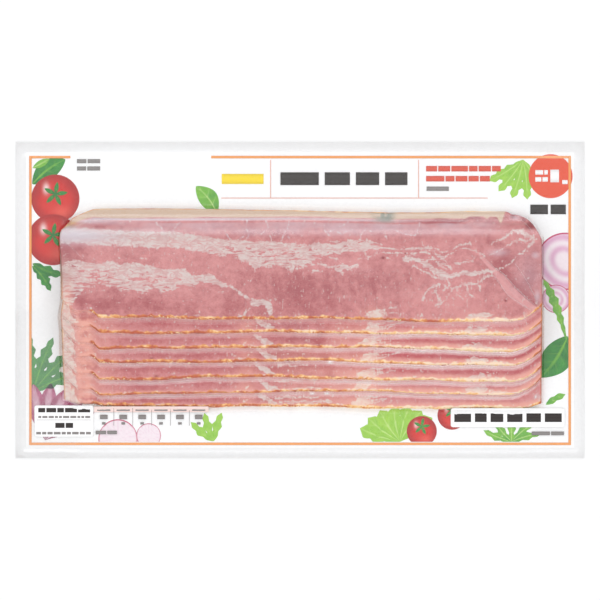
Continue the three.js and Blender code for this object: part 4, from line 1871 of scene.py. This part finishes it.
def sweep_tree(profile: Profile) -> tuple[NodeTree, dict[str, str]]:
    """Makes the node tree that sweeps a profile along each path, as wide as the path's own share says.

    Args:
        profile: What it sweeps.

    Returns:
        The tree, and the identifier of each of its inputs by name.
    """
    kinds = {"Geometry": "Geometry", "Width": "Float", "Thickness": "Float", "Material": "Material"}
    tree, sockets, given = start_tree(f"sweep_{profile.name.lower()}", kinds)
    add = partial(add_node, tree)
    paths = add("GeometryNodeMeshToCurve", {"Mesh": given["Geometry"]})
    upright = add("GeometryNodeSetCurveNormal", {"Curve": paths.outputs["Curve"]}, mode="Z_UP")
    if profile is Profile.FLAT:
        outline = add(profile.value, {"Width": given["Width"], "Height": given["Thickness"]})
    else:
        outline = add(profile.value, {"Radius": given["Width"], "Resolution": 8})
    share = add("GeometryNodeInputNamedAttribute", {"Name": "share"}, data_type="FLOAT")
    swept = add("GeometryNodeCurveToMesh",
                     {"Curve": upright.outputs["Curve"], "Profile Curve": outline.outputs["Curve"],
                      "Scale": share.outputs["Attribute"], "Fill Caps": True})
    end_tree(tree, swept.outputs["Mesh"], given["Material"])
    return tree, sockets


def run_tree(piece: Object, tree: NodeTree, sockets: Mapping[str, str],
             values: Mapping[str, object]) -> Object:
    """Runs a node tree on a piece and keeps the result as plain mesh.

    Args:
        piece: The piece.
        tree: The tree.
        sockets: The identifier of each input by name.
        values: What each input gets.

    Returns:
        The same piece.
    """
    modifier = piece.modifiers.new(tree.name, "NODES")
    modifier.node_group = tree
    for name, value in values.items():
        modifier[sockets[name]] = value
    return plain_mesh(piece)


def path_object(name: str, points: Array, edges: Sequence[tuple[int, int]]) -> Object:
    """Makes an object of bare paths, from points in millimetres.

    Args:
        name: The object's name.
        points: One row of x, y, z for each point.
        edges: The pairs of points that are joined.

    Returns:
        The new object, linked to the scene.
    """
    mesh = bpy.data.meshes.new(name)
    mesh.from_pydata(points * MM, edges, [])
    piece = bpy.data.objects.new(name, mesh)
    bpy.context.scene.collection.objects.link(piece)
    return piece


@dataclass
class FilmHeight:
    """How high the upper side of the window film lies over any place of the pack."""

    film: WindowFilm

    def over(self, x: Array, y: Array) -> Array:
        """The height over a grid of places.

        Args:
            x: Their x, the same down each row of the array.
            y: Their y.

        Returns:
            The film's height over each.
        """
        film, stack = self.film, self.film.stack
        edge_x = np.clip(x[:, 0], stack.left, stack.right)
        rows_y, rows_z = film.column_lines(edge_x)
        heights = np.array([np.interp(y[i], rows_y[i][::-1], rows_z[i][::-1]) for i in range(len(edge_x))])
        straight_x = 2 * x - stack.settle(x, y, film.inset)
        outside = np.maximum(stack.left - straight_x, straight_x - stack.right) - film.reach
        share = np.clip(1 - outside / film.side_run, 0.0, 1.0) ** film.drop_power
        return film.seal_z + (heights - film.seal_z) * share


@dataclass
class LineWork:
    """Straight strokes of ink, swept flat along their paths."""

    field_height: float
    film_height: FilmHeight
    thickness: float = 0.012
    spacing: float = 1.5
    film_gap: float = 0.04

    def build(self, name: str, bars: Sequence[Bar], material: Material) -> Object:
        """Makes one piece of many strokes.

        Args:
            name: The piece's name.
            bars: The strokes.
            material: The ink.

        Returns:
            The finished piece.
        """
        points, edges, shares, colours, on_film = [], [], [], [], []
        for bar in bars:
            start, end = np.array(bar.start), np.array(bar.end)
            steps = 1 + (max(1, int(np.hypot(*(end - start)) / self.spacing)) if bar.on_film else 1)
            for step in range(steps):
                if step:
                    edges.append((len(points) - 1, len(points)))
                points.append((*(start + (end - start) * step / (steps - 1)), self.field_height))
                shares.append(bar.width)
                colours.append(bar.colour.linear)
                on_film.append(bar.on_film)
        points = np.array(points)
        films = self.film_height.over(points[:, :1], points[:, 1:2])[:, 0] + self.film_gap
        points[:, 2] = np.where(on_film, films, points[:, 2])
        piece = path_object(name, points, edges)
        put_values(piece, {"share": np.array(shares)})
        put_colours(piece, np.array(colours))
        tree, sockets = sweep_tree(Profile.FLAT)
        run_tree(piece, tree, sockets, {"Width": MM, "Thickness": self.thickness * MM, "Material": material})
        return finish_piece(piece, "web")


@dataclass
class BackingWeb:
    """The white printed backing, with its grey seal border and the flat fields of ink on it."""

    film: WindowFilm
    half_width: float = WEB_HALF_WIDTH
    half_height: float = WEB_HALF_HEIGHT
    thickness: float = WEB_THICKNESS
    edge_radius: float = 0.12
    ink_half_width: float = 120.4
    ink_half_height: float = 64.9
    ink_thickness: float = 0.01
    label_lift: float = 0.03
    label_thickness: float = 0.02
    label_cell: Pair = (0.6, 0.3)
    area: PrintField = PrintField()

    def build(self, finish: InkFinish) -> list[Object]:
        """Makes the web and everything that is printed on it.

        Args:
            finish: The ink.

        Returns:
            The finished pieces.
        """
        material = finish.build("gravure_ink")
        web = self.slab("printed_backing", self.half_width, self.half_height,
                        0.0, self.thickness, Ink.SEAL_GREY)
        white = self.slab("white_field", self.ink_half_width, self.ink_half_height,
                          self.thickness, self.thickness + self.ink_thickness, Ink.WHITE)
        for piece in (web, white):
            piece.data.materials.append(material)
        pieces = [finish_piece(web, "web", "backing_web"), finish_piece(white, "web")]
        height = FilmHeight(self.film)
        pieces.append(self.motifs("printed_rounds", self.rounds(), material))
        pieces.append(self.motifs("printed_leaves", self.leaves(), material))
        pieces += self.labels(height, material)
        lines = LineWork(self.area.height(10), height)
        pieces.append(lines.build("printed_lines", [*self.frame_lines(), *self.headline()], material))
        pieces.append(lines.build("label_lines", self.label_lines(), material))
        return pieces

    def slab(self, name: str, half_x: float, half_y: float, low: float, high: float, colour: Ink) -> Object:
        """A thin slab with slightly rounded edges in one colour.

        Args:
            name: The piece's name.
            half_x: Half its width.
            half_y: Half its height.
            low: The height of its lower side.
            high: The height of its upper side.
            colour: Its ink.

        Returns:
            The slab, not yet tied to the pack.
        """
        radius = min(self.edge_radius, (high - low) / 3)
        rings = ((radius, low), (0.0, low + radius), (0.0, high - radius), (radius, high))
        corners = ((-1, 1), (-1, -1), (1, -1), (1, 1))
        points = [(a * (half_x - inset), b * (half_y - inset), z) for inset, z in rings for a, b in corners]
        faces = [(3, 2, 1, 0), (12, 13, 14, 15)]
        for level in range(len(rings) - 1):
            for n in range(4):
                here, there = level * 4 + n, level * 4 + (n + 1) % 4
                faces.append((here, there, there + 4, here + 4))
        piece = mesh_object(name, points, faces, smooth=False)
        put_colours(piece, np.tile(colour.linear, (len(points), 1)))
        return piece

    def motifs(self, name: str, shapes: Sequence[Round | Blade], material: Material) -> Object:
        """Makes one piece of many printed shapes.

        Args:
            name: The piece's name.
            shapes: The shapes, each on its own level.
            material: The ink.

        Returns:
            The finished piece.
        """
        points, faces, colours = [], [], []
        for shape in shapes:
            x, y, colour = shape.sheet(self.area)
            if (x[1, 0] - x[0, 0]) * (y[0, 1] - y[0, 0]) - (x[0, 1] - x[0, 0]) * (y[1, 0] - y[0, 0]) > 0:
                x, y, colour = x[::-1], y[::-1], colour[::-1]
            z = np.full(x.shape, self.area.height(shape.level) + self.ink_thickness)
            new_points, new_faces = closed_sheet(x, y, z, self.ink_thickness)
            start = len(points)
            points.extend(new_points)
            faces.extend(tuple(start + corner for corner in face) for face in new_faces)
            colours.extend(np.tile(colour.reshape(-1, 4), (2, 1)))
        piece = mesh_object(name, points, faces, smooth=False)
        put_colours(piece, np.array(colours))
        piece.data.materials.append(material)
        return finish_piece(piece, "web")

    @staticmethod
    def rounds() -> list[Round]:
        """The rounds, each where its colour belongs on the border.

        Returns:
            The rounds.
        """
        return [
            Round((-107.5, 44.5), 10.6, RoundLook.FRUIT, 1),
            Round((-108.5, 26.5), 11.2, RoundLook.FRUIT, 2),
            Round((-80.0, -61.0), 8.6, RoundLook.PALE, 0),
            Round((-66.5, -59.6), 5.4, RoundLook.PALE, 1),
            Round((53.5, -57.6), 6.6, RoundLook.FRUIT, 5),
            Round((66.8, -50.6), 6.4, RoundLook.FRUIT, 4),
            Round((116.5, 17.0), 12.6, RoundLook.RINGS, 0),
            Round((112.5, 0.5), 6.2, RoundLook.RINGS, 1),
            Round((110.1, 54.4), 9.65, RoundLook.BADGE, 8),
        ]

    @staticmethod
    def leaves() -> list[Blade]:
        """The leaves, in fans and sprays along the border.

        Returns:
            The leaves.
        """
        leaves = [
            Blade((-117.6, 51.0), (-103.2, 61.8), 8.5, BladeLook.DEEP, 0, 1.0),
            Blade((-117.4, 58.0), (-110.0, 62.0), 3.0, BladeLook.FRESH, 1),
            Blade((-117.5, 16.0), (-104.5, 11.0), 5.4, BladeLook.DEEP, 3, -0.8, teeth=3),
            Blade((-117.6, 15.0), (-109.6, 4.0), 5.0, BladeLook.DEEP, 4, 0.8, teeth=4),
            Blade((-36.4, 38.0), (-45.6, 50.0), 8.0, BladeLook.FRESH, 0, -1.0),
            Blade((117.6, -16.0), (105.8, -34.0), 12.5, BladeLook.DEEP, 0, 1.2),
            Blade((117.4, -19.0), (107.2, 9.0), 4.6, BladeLook.FRESH, 3, -1.0, teeth=7, belly=1.5),
            Blade((108.0, -46.0), (116.6, -41.4), 3.6, BladeLook.FRESH, 1, 0.4, teeth=2),
        ]
        fans = [
            Fan((-117.0, -40.0), (25.0, 25.0), (94, 70, 46, 22),
                6.4, BladeLook.DEEP, (1, 2, 3, 4), 0.6, 5, root=-0.2),
            Fan((-112.0, -61.5), (25.0, 25.0), (102, 84, 66, 48, 30),
                7.4, BladeLook.PLUM, (5, 4), 0.5, belly=1.35),
            Fan((44.0, -62.2), (19.0, 15.5), (158, 138, 118, 98, 78, 60, 42),
                7.8, BladeLook.LIME, (1, 2, 3), 0.7, 3, 1.5),
            Fan((98.0, 61.6), (17.5, 17.5), (212, 232, 254, 276, 300),
                5.6, BladeLook.LIME, (1, 2, 3), 0.5, 4, 1.3),
            Fan((-38.0, -62.0), (13.0, 13.0), (140, 108, 74), 4.4, BladeLook.LIME, (1, 2, 3), 0.4, 3),
            Fan((93.0, -62.2), (14.0, 10.5), (152, 122, 86, 48, 20), 3.8, BladeLook.FRESH, (1, 2, 3), 0.5, 3),
        ]
        for x, y, reach in ((53.5, -57.6, 3.8), (66.8, -50.6, 3.8), (-107.5, 44.5, 5.4), (-108.5, 26.5, 5.4)):
            sepals = (80, 152, 224, 296, 368)
            fans.append(Fan((x, y + 2.0), (reach, reach), sepals, reach * 0.34, BladeLook.DEEP, (7,), 0.0))
        for fan in fans:
            leaves += fan.blades()
        return leaves

    @staticmethod
    def frame_lines() -> list[Bar]:
        """The orange frame line, open along the top where dates are stamped, and the thin rules.

        Returns:
            The bars.
        """
        wide, thin = 1.1, 0.35
        return [
            Bar((-118.45, 63.35), (-118.45, -63.75), wide, Ink.FRAME),
            Bar((118.5, 63.35), (118.5, -63.75), wide, Ink.FRAME),
            Bar((-117.9, -63.2), (117.95, -63.2), wide, Ink.FRAME),
            Bar((-117.9, 62.8), (-100.9, 62.8), wide, Ink.FRAME),
            Bar((-39.0, 62.8), (117.95, 62.8), wide, Ink.FRAME),
            Bar((-12.9, 61.5), (-12.9, 45.0), thin, Ink.RULE),
            Bar((52.1, 61.5), (52.1, 45.0), thin, Ink.RULE),
            Bar((-34.6, 44.8), (82.5, 44.8), thin, Ink.RULE),
        ]

    @staticmethod
    def headline() -> list[Bar]:
        """Bars for the words above the window.

        Returns:
            The bars.
        """
        bars = [Bar((-34.4, 53.2), (-16.0, 53.2), 4.4, Ink.YELLOW)]
        bars += word_bars((-8.6, 47.2), 53.3, 5.6, Ink.BLACK, words=4, gap=2.6)
        bars += word_bars((55.4, 88.2), 57.7, 2.4, Ink.WARM_RED)
        bars += word_bars((55.4, 83.4), 53.3, 2.4, Ink.WARM_RED)
        bars += word_bars((55.6, 65.4), 48.9, 1.9, Ink.GREY, words=1)
        bars += word_bars((-98.0, -87.8), 61.0, 1.8, Ink.GREY)
        bars += word_bars((-98.0, -87.8), 57.8, 1.8, Ink.GREY)
        bars += word_bars((101.2, 116.8), 39.8, 4.2, Ink.BLACK, words=2, gap=1.2)
        bars += word_bars((103.4, 108.9), 56.1, 2.0, Ink.WHITE, words=2)
        bars += word_bars((103.4, 108.9), 53.0, 2.0, Ink.WHITE, words=2)
        bars.append(Bar((110.0, 54.5), (113.8, 54.5), 5.6, Ink.WHITE))
        bars.append(Bar((115.2, 51.8), (117.6, 51.8), 1.8, Ink.WHITE))
        return bars

    def labels(self, height: FilmHeight, material: Material) -> list[Object]:
        """The small labels printed on the film, which follow it down its wall.

        Args:
            height: The film's height.
            material: The ink.

        Returns:
            The finished pieces.
        """
        places = (
            ("contents_label", (-116.7, -90.7), (-60.1, -46.3), 0.9, Ink.WHITE),
            ("values_header", (-90.6, -40.1), (-49.3, -46.7), 0.1, Ink.HEADER),
            ("storage_label", (66.2, 116.4), (-55.9, -47.5), 1.0, Ink.WHITE),
        )
        return [self.label(height, material, *place) for place in places]

    def label(self, height: FilmHeight, material: Material, name: str, span_x: Pair,
              span_y: Pair, radius: float, colour: Ink) -> Object:
        """Makes one rounded label that lies on the film.

        Args:
            height: The film's height.
            material: The ink.
            name: The piece's name.
            span_x: Where it starts and ends along X.
            span_y: Where it starts and ends along Y.
            radius: The radius of its corners.
            colour: Its ink.

        Returns:
            The finished piece.
        """
        rows = np.linspace(span_y[1], span_y[0], int((span_y[1] - span_y[0]) / self.label_cell[1]))
        from_end = np.minimum(rows - span_y[0], span_y[1] - rows)
        inset = radius - np.sqrt(np.maximum(radius**2 - np.maximum(radius - from_end, 0.0) ** 2, 0.0))
        share = np.linspace(0.0, 1.0, int((span_x[1] - span_x[0]) / self.label_cell[0]))[:, None]
        x = span_x[0] + inset + (span_x[1] - span_x[0] - 2 * inset) * share
        y = np.repeat(rows[None, :], len(share), axis=0)
        points, faces = closed_sheet(x, y, height.over(x, y) + self.label_lift, self.label_thickness)
        piece = mesh_object(name, points, faces)
        put_colours(piece, np.tile(colour.linear, (len(points), 1)))
        piece.data.materials.append(material)
        return finish_piece(piece, "web")

    @staticmethod
    def label_lines() -> list[Bar]:
        """Bars for the words on the labels, and the table's column lines.

        Returns:
            The bars, each marked as lying on the film.
        """
        bars = word_bars((-115.0, -92.2), -48.4, 1.9, Ink.BLACK)
        bars += word_bars((-115.0, -92.2), -51.4, 0.9, Ink.GREY)
        bars += [Bar((-115.6, -52.7), (-91.8, -52.7), 0.14, Ink.GREY)]
        bars += word_bars((-107.5, -99.7), -55.1, 2.2, Ink.BLACK)
        bars += word_bars((-115.9, -91.9), -58.5, 1.1, Ink.GREY)
        columns = (-90.6, -81.8, -73.5, -65.2, -56.9, -48.6, -40.4)
        for left, right in zip(columns, columns[1:]):
            middle = (left + right) / 2
            bars += word_bars((middle - 2.9, middle + 2.9), -48.1, 1.2, Ink.GREY, words=1)
            bars += word_bars((middle - 1.7, middle + 1.7), -51.4, 1.9, Ink.GREY, words=1)
            bars += word_bars((middle - 0.8, middle + 0.8), -54.2, 1.0, Ink.GREY, words=1)
        bars += [Bar((x, -46.8), (x, -55.2), 0.16, Ink.GREY) for x in columns[1:-1]]
        bars += word_bars((-89.8, -80.4), -58.2, 1.5, Ink.GREY, words=2)
        bars += word_bars((67.8, 115.0), -51.7, 3.8, Ink.BLACK, words=6, gap=1.7)
        bars += word_bars((101.8, 116.0), -58.6, 1.6, Ink.GREY, words=2)
        return [replace(bar, on_film=True) for bar in bars]


class Grain(Enum):
    """Two kinds of crumb on the browned edge: name, colour, radius and number on a square millimetre."""

    PEPPERED = ("browned_grains", "b9561c", 0.26, 4.0)
    CREAMY = ("creamy_grains", "f6d9a2", 0.32, 4.0)


@dataclass(frozen=True)
class GrainFinish:
    """Browned crumb of spice and dried fat: dull, each grain slightly its own shade."""

    roughness: float = 0.6
    patch: float = 2.0  # how far one shade of browning reaches, in millimetres

    def build(self, grain: Grain) -> Material:
        """Makes the material of one kind of grain.

        Args:
            grain: The kind.

        Returns:
            The material.
        """
        name, colour = grain.value[:2]
        material, tree, place = new_material(name)
        add = partial(add_node, tree)
        shader = tree.nodes["Principled BSDF"]
        noise = add("ShaderNodeTexNoise", {"Vector": place, "Scale": 1 / (self.patch * MM), "Detail": 2.0})
        value = add("ShaderNodeMapRange", {"Value": noise.outputs["Fac"], "To Min": 0.6, "To Max": 1.35})
        tinted = add("ShaderNodeHueSaturation", {"Color": linear(colour), "Value": value.outputs["Result"]})
        tree.links.new(tinted.outputs["Color"], shader.inputs["Base Color"])
        shader.inputs["Roughness"].default_value = self.roughness
        return material


@dataclass
class CrustGrains:
    """Crumbs scattered along the browned front edges of the slices."""

    stack: Stack = Stack()
    spacing: float = 0.8
    depth: float = 0.75
    sink: float = 0.12
    from_left: float = 14.0
    from_right: float = 6.0
    least: tuple[float, ...] = (0.5, 0.5, 0.4)
    greatest: tuple[float, ...] = (1.7, 1.1, 0.9)
    turn: tuple[float, ...] = (0.4, 0.4, 1.2)
    seed: int = 7

    def tree(self) -> tuple[NodeTree, dict[str, str]]:
        """Makes the node tree that scatters grains over a band.

        Returns:
            The tree, and the identifier of each of its inputs by name.
        """
        kinds = {"Geometry": "Geometry", "Radius": "Float", "Density": "Float", "Seed": "Int",
                 "Material": "Material"}
        tree, sockets, given = start_tree("scatter_grains", kinds)
        add = partial(add_node, tree)
        share = add("GeometryNodeInputNamedAttribute", {"Name": "share"}, data_type="FLOAT")
        density = add("ShaderNodeMath", {0: share.outputs["Attribute"], 1: given["Density"]},
                      operation="MULTIPLY")
        spots = add("GeometryNodeDistributePointsOnFaces",
                         {"Mesh": given["Geometry"], "Density": density.outputs[0], "Seed": given["Seed"]})
        grain = add("GeometryNodeMeshIcoSphere", {"Radius": given["Radius"], "Subdivisions": 1})
        size = add("FunctionNodeRandomValue",
                   {0: self.least, 1: self.greatest, "Seed": given["Seed"]}, data_type="FLOAT_VECTOR")
        turn = add("FunctionNodeRandomValue",
                   {0: [-angle for angle in self.turn], 1: self.turn, "Seed": given["Seed"]},
                   data_type="FLOAT_VECTOR")
        placed = add("GeometryNodeInstanceOnPoints",
                          {"Points": spots.outputs["Points"], "Instance": grain.outputs["Mesh"],
                           "Rotation": turn.outputs[0], "Scale": size.outputs[0]})
        end_tree(tree, placed.outputs["Instances"], given["Material"])
        return tree, sockets

    def band(self, grain: Grain) -> tuple[Array, list[tuple[int, ...]], Array]:
        """The bands along the slices' front edges that carry the grains.

        Args:
            grain: The kind of grain.

        Returns:
            The bands' points and faces, and each point's share of the full density.
        """
        points, faces, shares = [], [], []
        x = np.arange(self.stack.left + self.from_left, self.stack.right - self.from_right, self.spacing)
        for index in range(self.stack.count):
            front = self.stack.front_edge(x, index)
            rows = np.stack((front + self.sink, front + self.depth), axis=1)
            columns = np.repeat(x[:, None], 2, axis=1)
            z = self.stack.top(columns, rows, index) - self.sink
            start = len(shares)
            points.extend(np.stack((columns, rows, z), axis=2).reshape(-1, 3))
            faces += grid_faces(len(x), 2, start=start)
            patches = ripple(x, x * 0, 4.0, 40 + 3 * index + (grain is Grain.CREAMY), octaves=2)
            patches = smoothstep(patches, -0.1, 0.6)
            if grain is Grain.CREAMY:
                weight = np.interp(x, (-92, -80, -20, 40, 70, 92, 100), (0.5, 0.5, 0.45, 0.5, 1.4, 1.4, 0.2))
            else:
                weight = np.interp(x, (-92, -80, 40, 60, 95), (1.2, 1.0, 1.0, 0.5, 0.25))
            shares.extend(np.repeat(patches * weight * (0.4 if index == 5 else 1.0), 2))
        return np.array(points), faces, np.array(shares)

    def build(self, finish: GrainFinish) -> list[Object]:
        """Makes one piece of each kind of grain.

        Args:
            finish: How the grains look.

        Returns:
            The finished pieces.
        """
        tree, sockets = self.tree()
        pieces = []
        for grain in Grain:
            name, _, radius, density = grain.value
            points, faces, shares = self.band(grain)
            piece = mesh_object(name, points, faces)
            put_values(piece, {"share": shares})
            values = {"Radius": radius * MM, "Density": density / MM**2, "Seed": self.seed + len(pieces),
                      "Material": finish.build(grain)}
            pieces.append(finish_piece(run_tree(piece, tree, sockets, values), "slice"))
        return pieces


@dataclass(frozen=True)
class Crease:
    """A sharp crease in the film: its greatest radius and the line that it follows."""

    radius: float
    points: Points


# Creases in the film, longest first: the fold across the right end, and pulls at both ends.
CREASES = (
    Crease(0.34, ((84.2, 11.4), (87.7, 6.8), (90.8, 2.2), (96.3, -1.5), (102.0, -5.0))),
    Crease(0.26, ((79.8, 19.5), (84.6, 14.7), (89.0, 11.6), (94.3, 5.5), (100.0, 0.0), (103.5, -2.9))),
    Crease(0.18, ((94.0, 16.5), (99.0, 9.0), (103.0, 1.0), (105.0, -4.0))),
    Crease(0.16, ((96.0, 36.0), (99.5, 33.0), (102.5, 29.5))),
    Crease(0.16, ((-104.4, 27.5), (-99.0, 32.0), (-93.0, 34.6), (-84.0, 35.9))),
    Crease(0.14, ((-104.6, 24.6), (-97.0, 28.6), (-88.0, 30.0))),
    Crease(0.14, ((-104.6, 27.0), (-101.6, 24.4), (-95.0, 17.9))),
)


@dataclass
class FilmCreases:
    """Creases that stand out of the film, swept along their lines."""

    height: FilmHeight
    spacing: float = 0.7
    sink: float = 0.4

    def build(self, finish: FilmFinish) -> Object:
        """Makes every crease as one piece.

        Args:
            finish: The film's gloss.

        Returns:
            The finished piece.
        """
        points, edges, shares = [], [], []
        for crease in CREASES:
            corners = np.array(crease.points)
            runs = np.concatenate(([0.0], np.cumsum(np.hypot(*np.diff(corners, axis=0).T))))
            steps = max(8, int(runs[-1] / self.spacing))
            places = np.linspace(0.0, runs[-1], steps)
            x, y = (np.interp(places, runs, corners[:, axis]) for axis in (0, 1))
            radius = crease.radius * np.sin(np.linspace(0.04, 0.96, steps) * math.pi) ** 0.6
            z = self.height.over(x[:, None], y[:, None])[:, 0] - self.sink * radius
            edges += [(len(points) + n, len(points) + n + 1) for n in range(steps - 1)]
            points.extend(zip(x, y, z))
            shares.extend(radius)
        piece = path_object("film_creases", np.array(points), edges)
        put_values(piece, {"share": np.array(shares)})
        tree, sockets = sweep_tree(Profile.ROUND)
        run_tree(piece, tree, sockets, {"Width": MM, "Material": finish.build("creased_film_gloss")})
        piece.data.polygons.foreach_set("use_smooth", np.full(len(piece.data.polygons), True))
        return finish_piece(piece, "film")


@dataclass(frozen=True)
class Studio:
    """A pale floor, a white room and two soft boxes, seen from straight above."""

    distance: float = 3000.0
    frame_width: float = 263.16
    floor_half: float = 3000.0
    sensor: float = 36.0
    world: float = 0.9
    power: float = 2.6
    light_distance: float = 1.3
    light_colour: tuple[float, float, float] = (0.93, 0.94, 1.0)
    pack_middle: float = 6.0

    def build(self) -> None:
        """Makes the floor, the lights and the camera."""
        corners = [(-1, -1), (1, -1), (1, 1), (-1, 1)]
        points = [(a * self.floor_half, b * self.floor_half, 0.0) for a, b in corners]
        floor = mesh_object("studio_floor", points, [(0, 1, 2, 3)], smooth=False)
        # Matt white seamless paper: it takes the pack's soft shadow and shows no gloss.
        paper = bpy.data.materials.new("floor_paper")
        paper.use_nodes = True
        paper.node_tree.nodes["Principled BSDF"].inputs["Base Color"].default_value = linear("fbfbfb")
        paper.node_tree.nodes["Principled BSDF"].inputs["Roughness"].default_value = 0.9
        floor.data.materials.append(paper)
        world = bpy.data.worlds.new("white_room")
        world.use_nodes = True
        world.node_tree.nodes["Background"].inputs["Color"].default_value = (1.0, 1.0, 1.0, 1.0)
        world.node_tree.nodes["Background"].inputs["Strength"].default_value = self.world
        bpy.context.scene.world = world
        bpy.context.scene.view_settings.view_transform = "Standard"
        self.soft_box("back_soft_box", 44.0, 1.0, (1.4, 0.28))
        self.soft_box("front_soft_box", 50.0, -1.0, (1.4, 0.6))
        self.camera()

    def soft_box(self, name: str, zenith: float, side: float, size: Pair) -> None:
        """Adds a soft box that looks at the pack.

        Args:
            name: The light's name.
            zenith: Its angle from straight up, in degrees.
            side: 1 puts it on the rind side, -1 on the front side.
            size: Its width and height in metres.
        """
        light = bpy.data.lights.new(name, "AREA")
        light.shape = "RECTANGLE"
        light.size, light.size_y = size
        light.energy = self.power
        light.color = self.light_colour
        lamp = bpy.data.objects.new(name, light)
        tilt = math.radians(zenith)
        lamp.location = Vector((0.0, side * math.sin(tilt), math.cos(tilt))) * self.light_distance
        lamp.rotation_euler = (-side * tilt, 0.0, 0.0)
        bpy.context.scene.collection.objects.link(lamp)

    def camera(self) -> None:
        """Adds the camera, looking straight down on the middle of the pack."""
        lens = bpy.data.cameras.new("overhead_camera")
        lens.sensor_width = self.sensor
        lens.lens = self.sensor * (self.distance - self.pack_middle) / self.frame_width
        lens.clip_end = 100.0
        view = bpy.data.objects.new("overhead_camera", lens)
        view.location = (0.0, 0.0, self.distance * MM)
        bpy.context.scene.collection.objects.link(view)
        bpy.context.scene.camera = view


def write_sizes() -> None:
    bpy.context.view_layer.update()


def main() -> None:
    """Builds the pack from its backing up, then the studio."""
    logging.basicConfig(level=logging.INFO, format="%(message)s")
    Studio().build()
    film = WindowFilm()
    BackingWeb(film).build(InkFinish())
    BaconSlices().build(MeatFinish())
    CrustGrains().build(GrainFinish())
    film.build(FilmFinish())
    FilmCreases(FilmHeight(film)).build(FilmFinish(mirror=0.12))
    write_sizes()


if __name__ == "__main__":
    main()
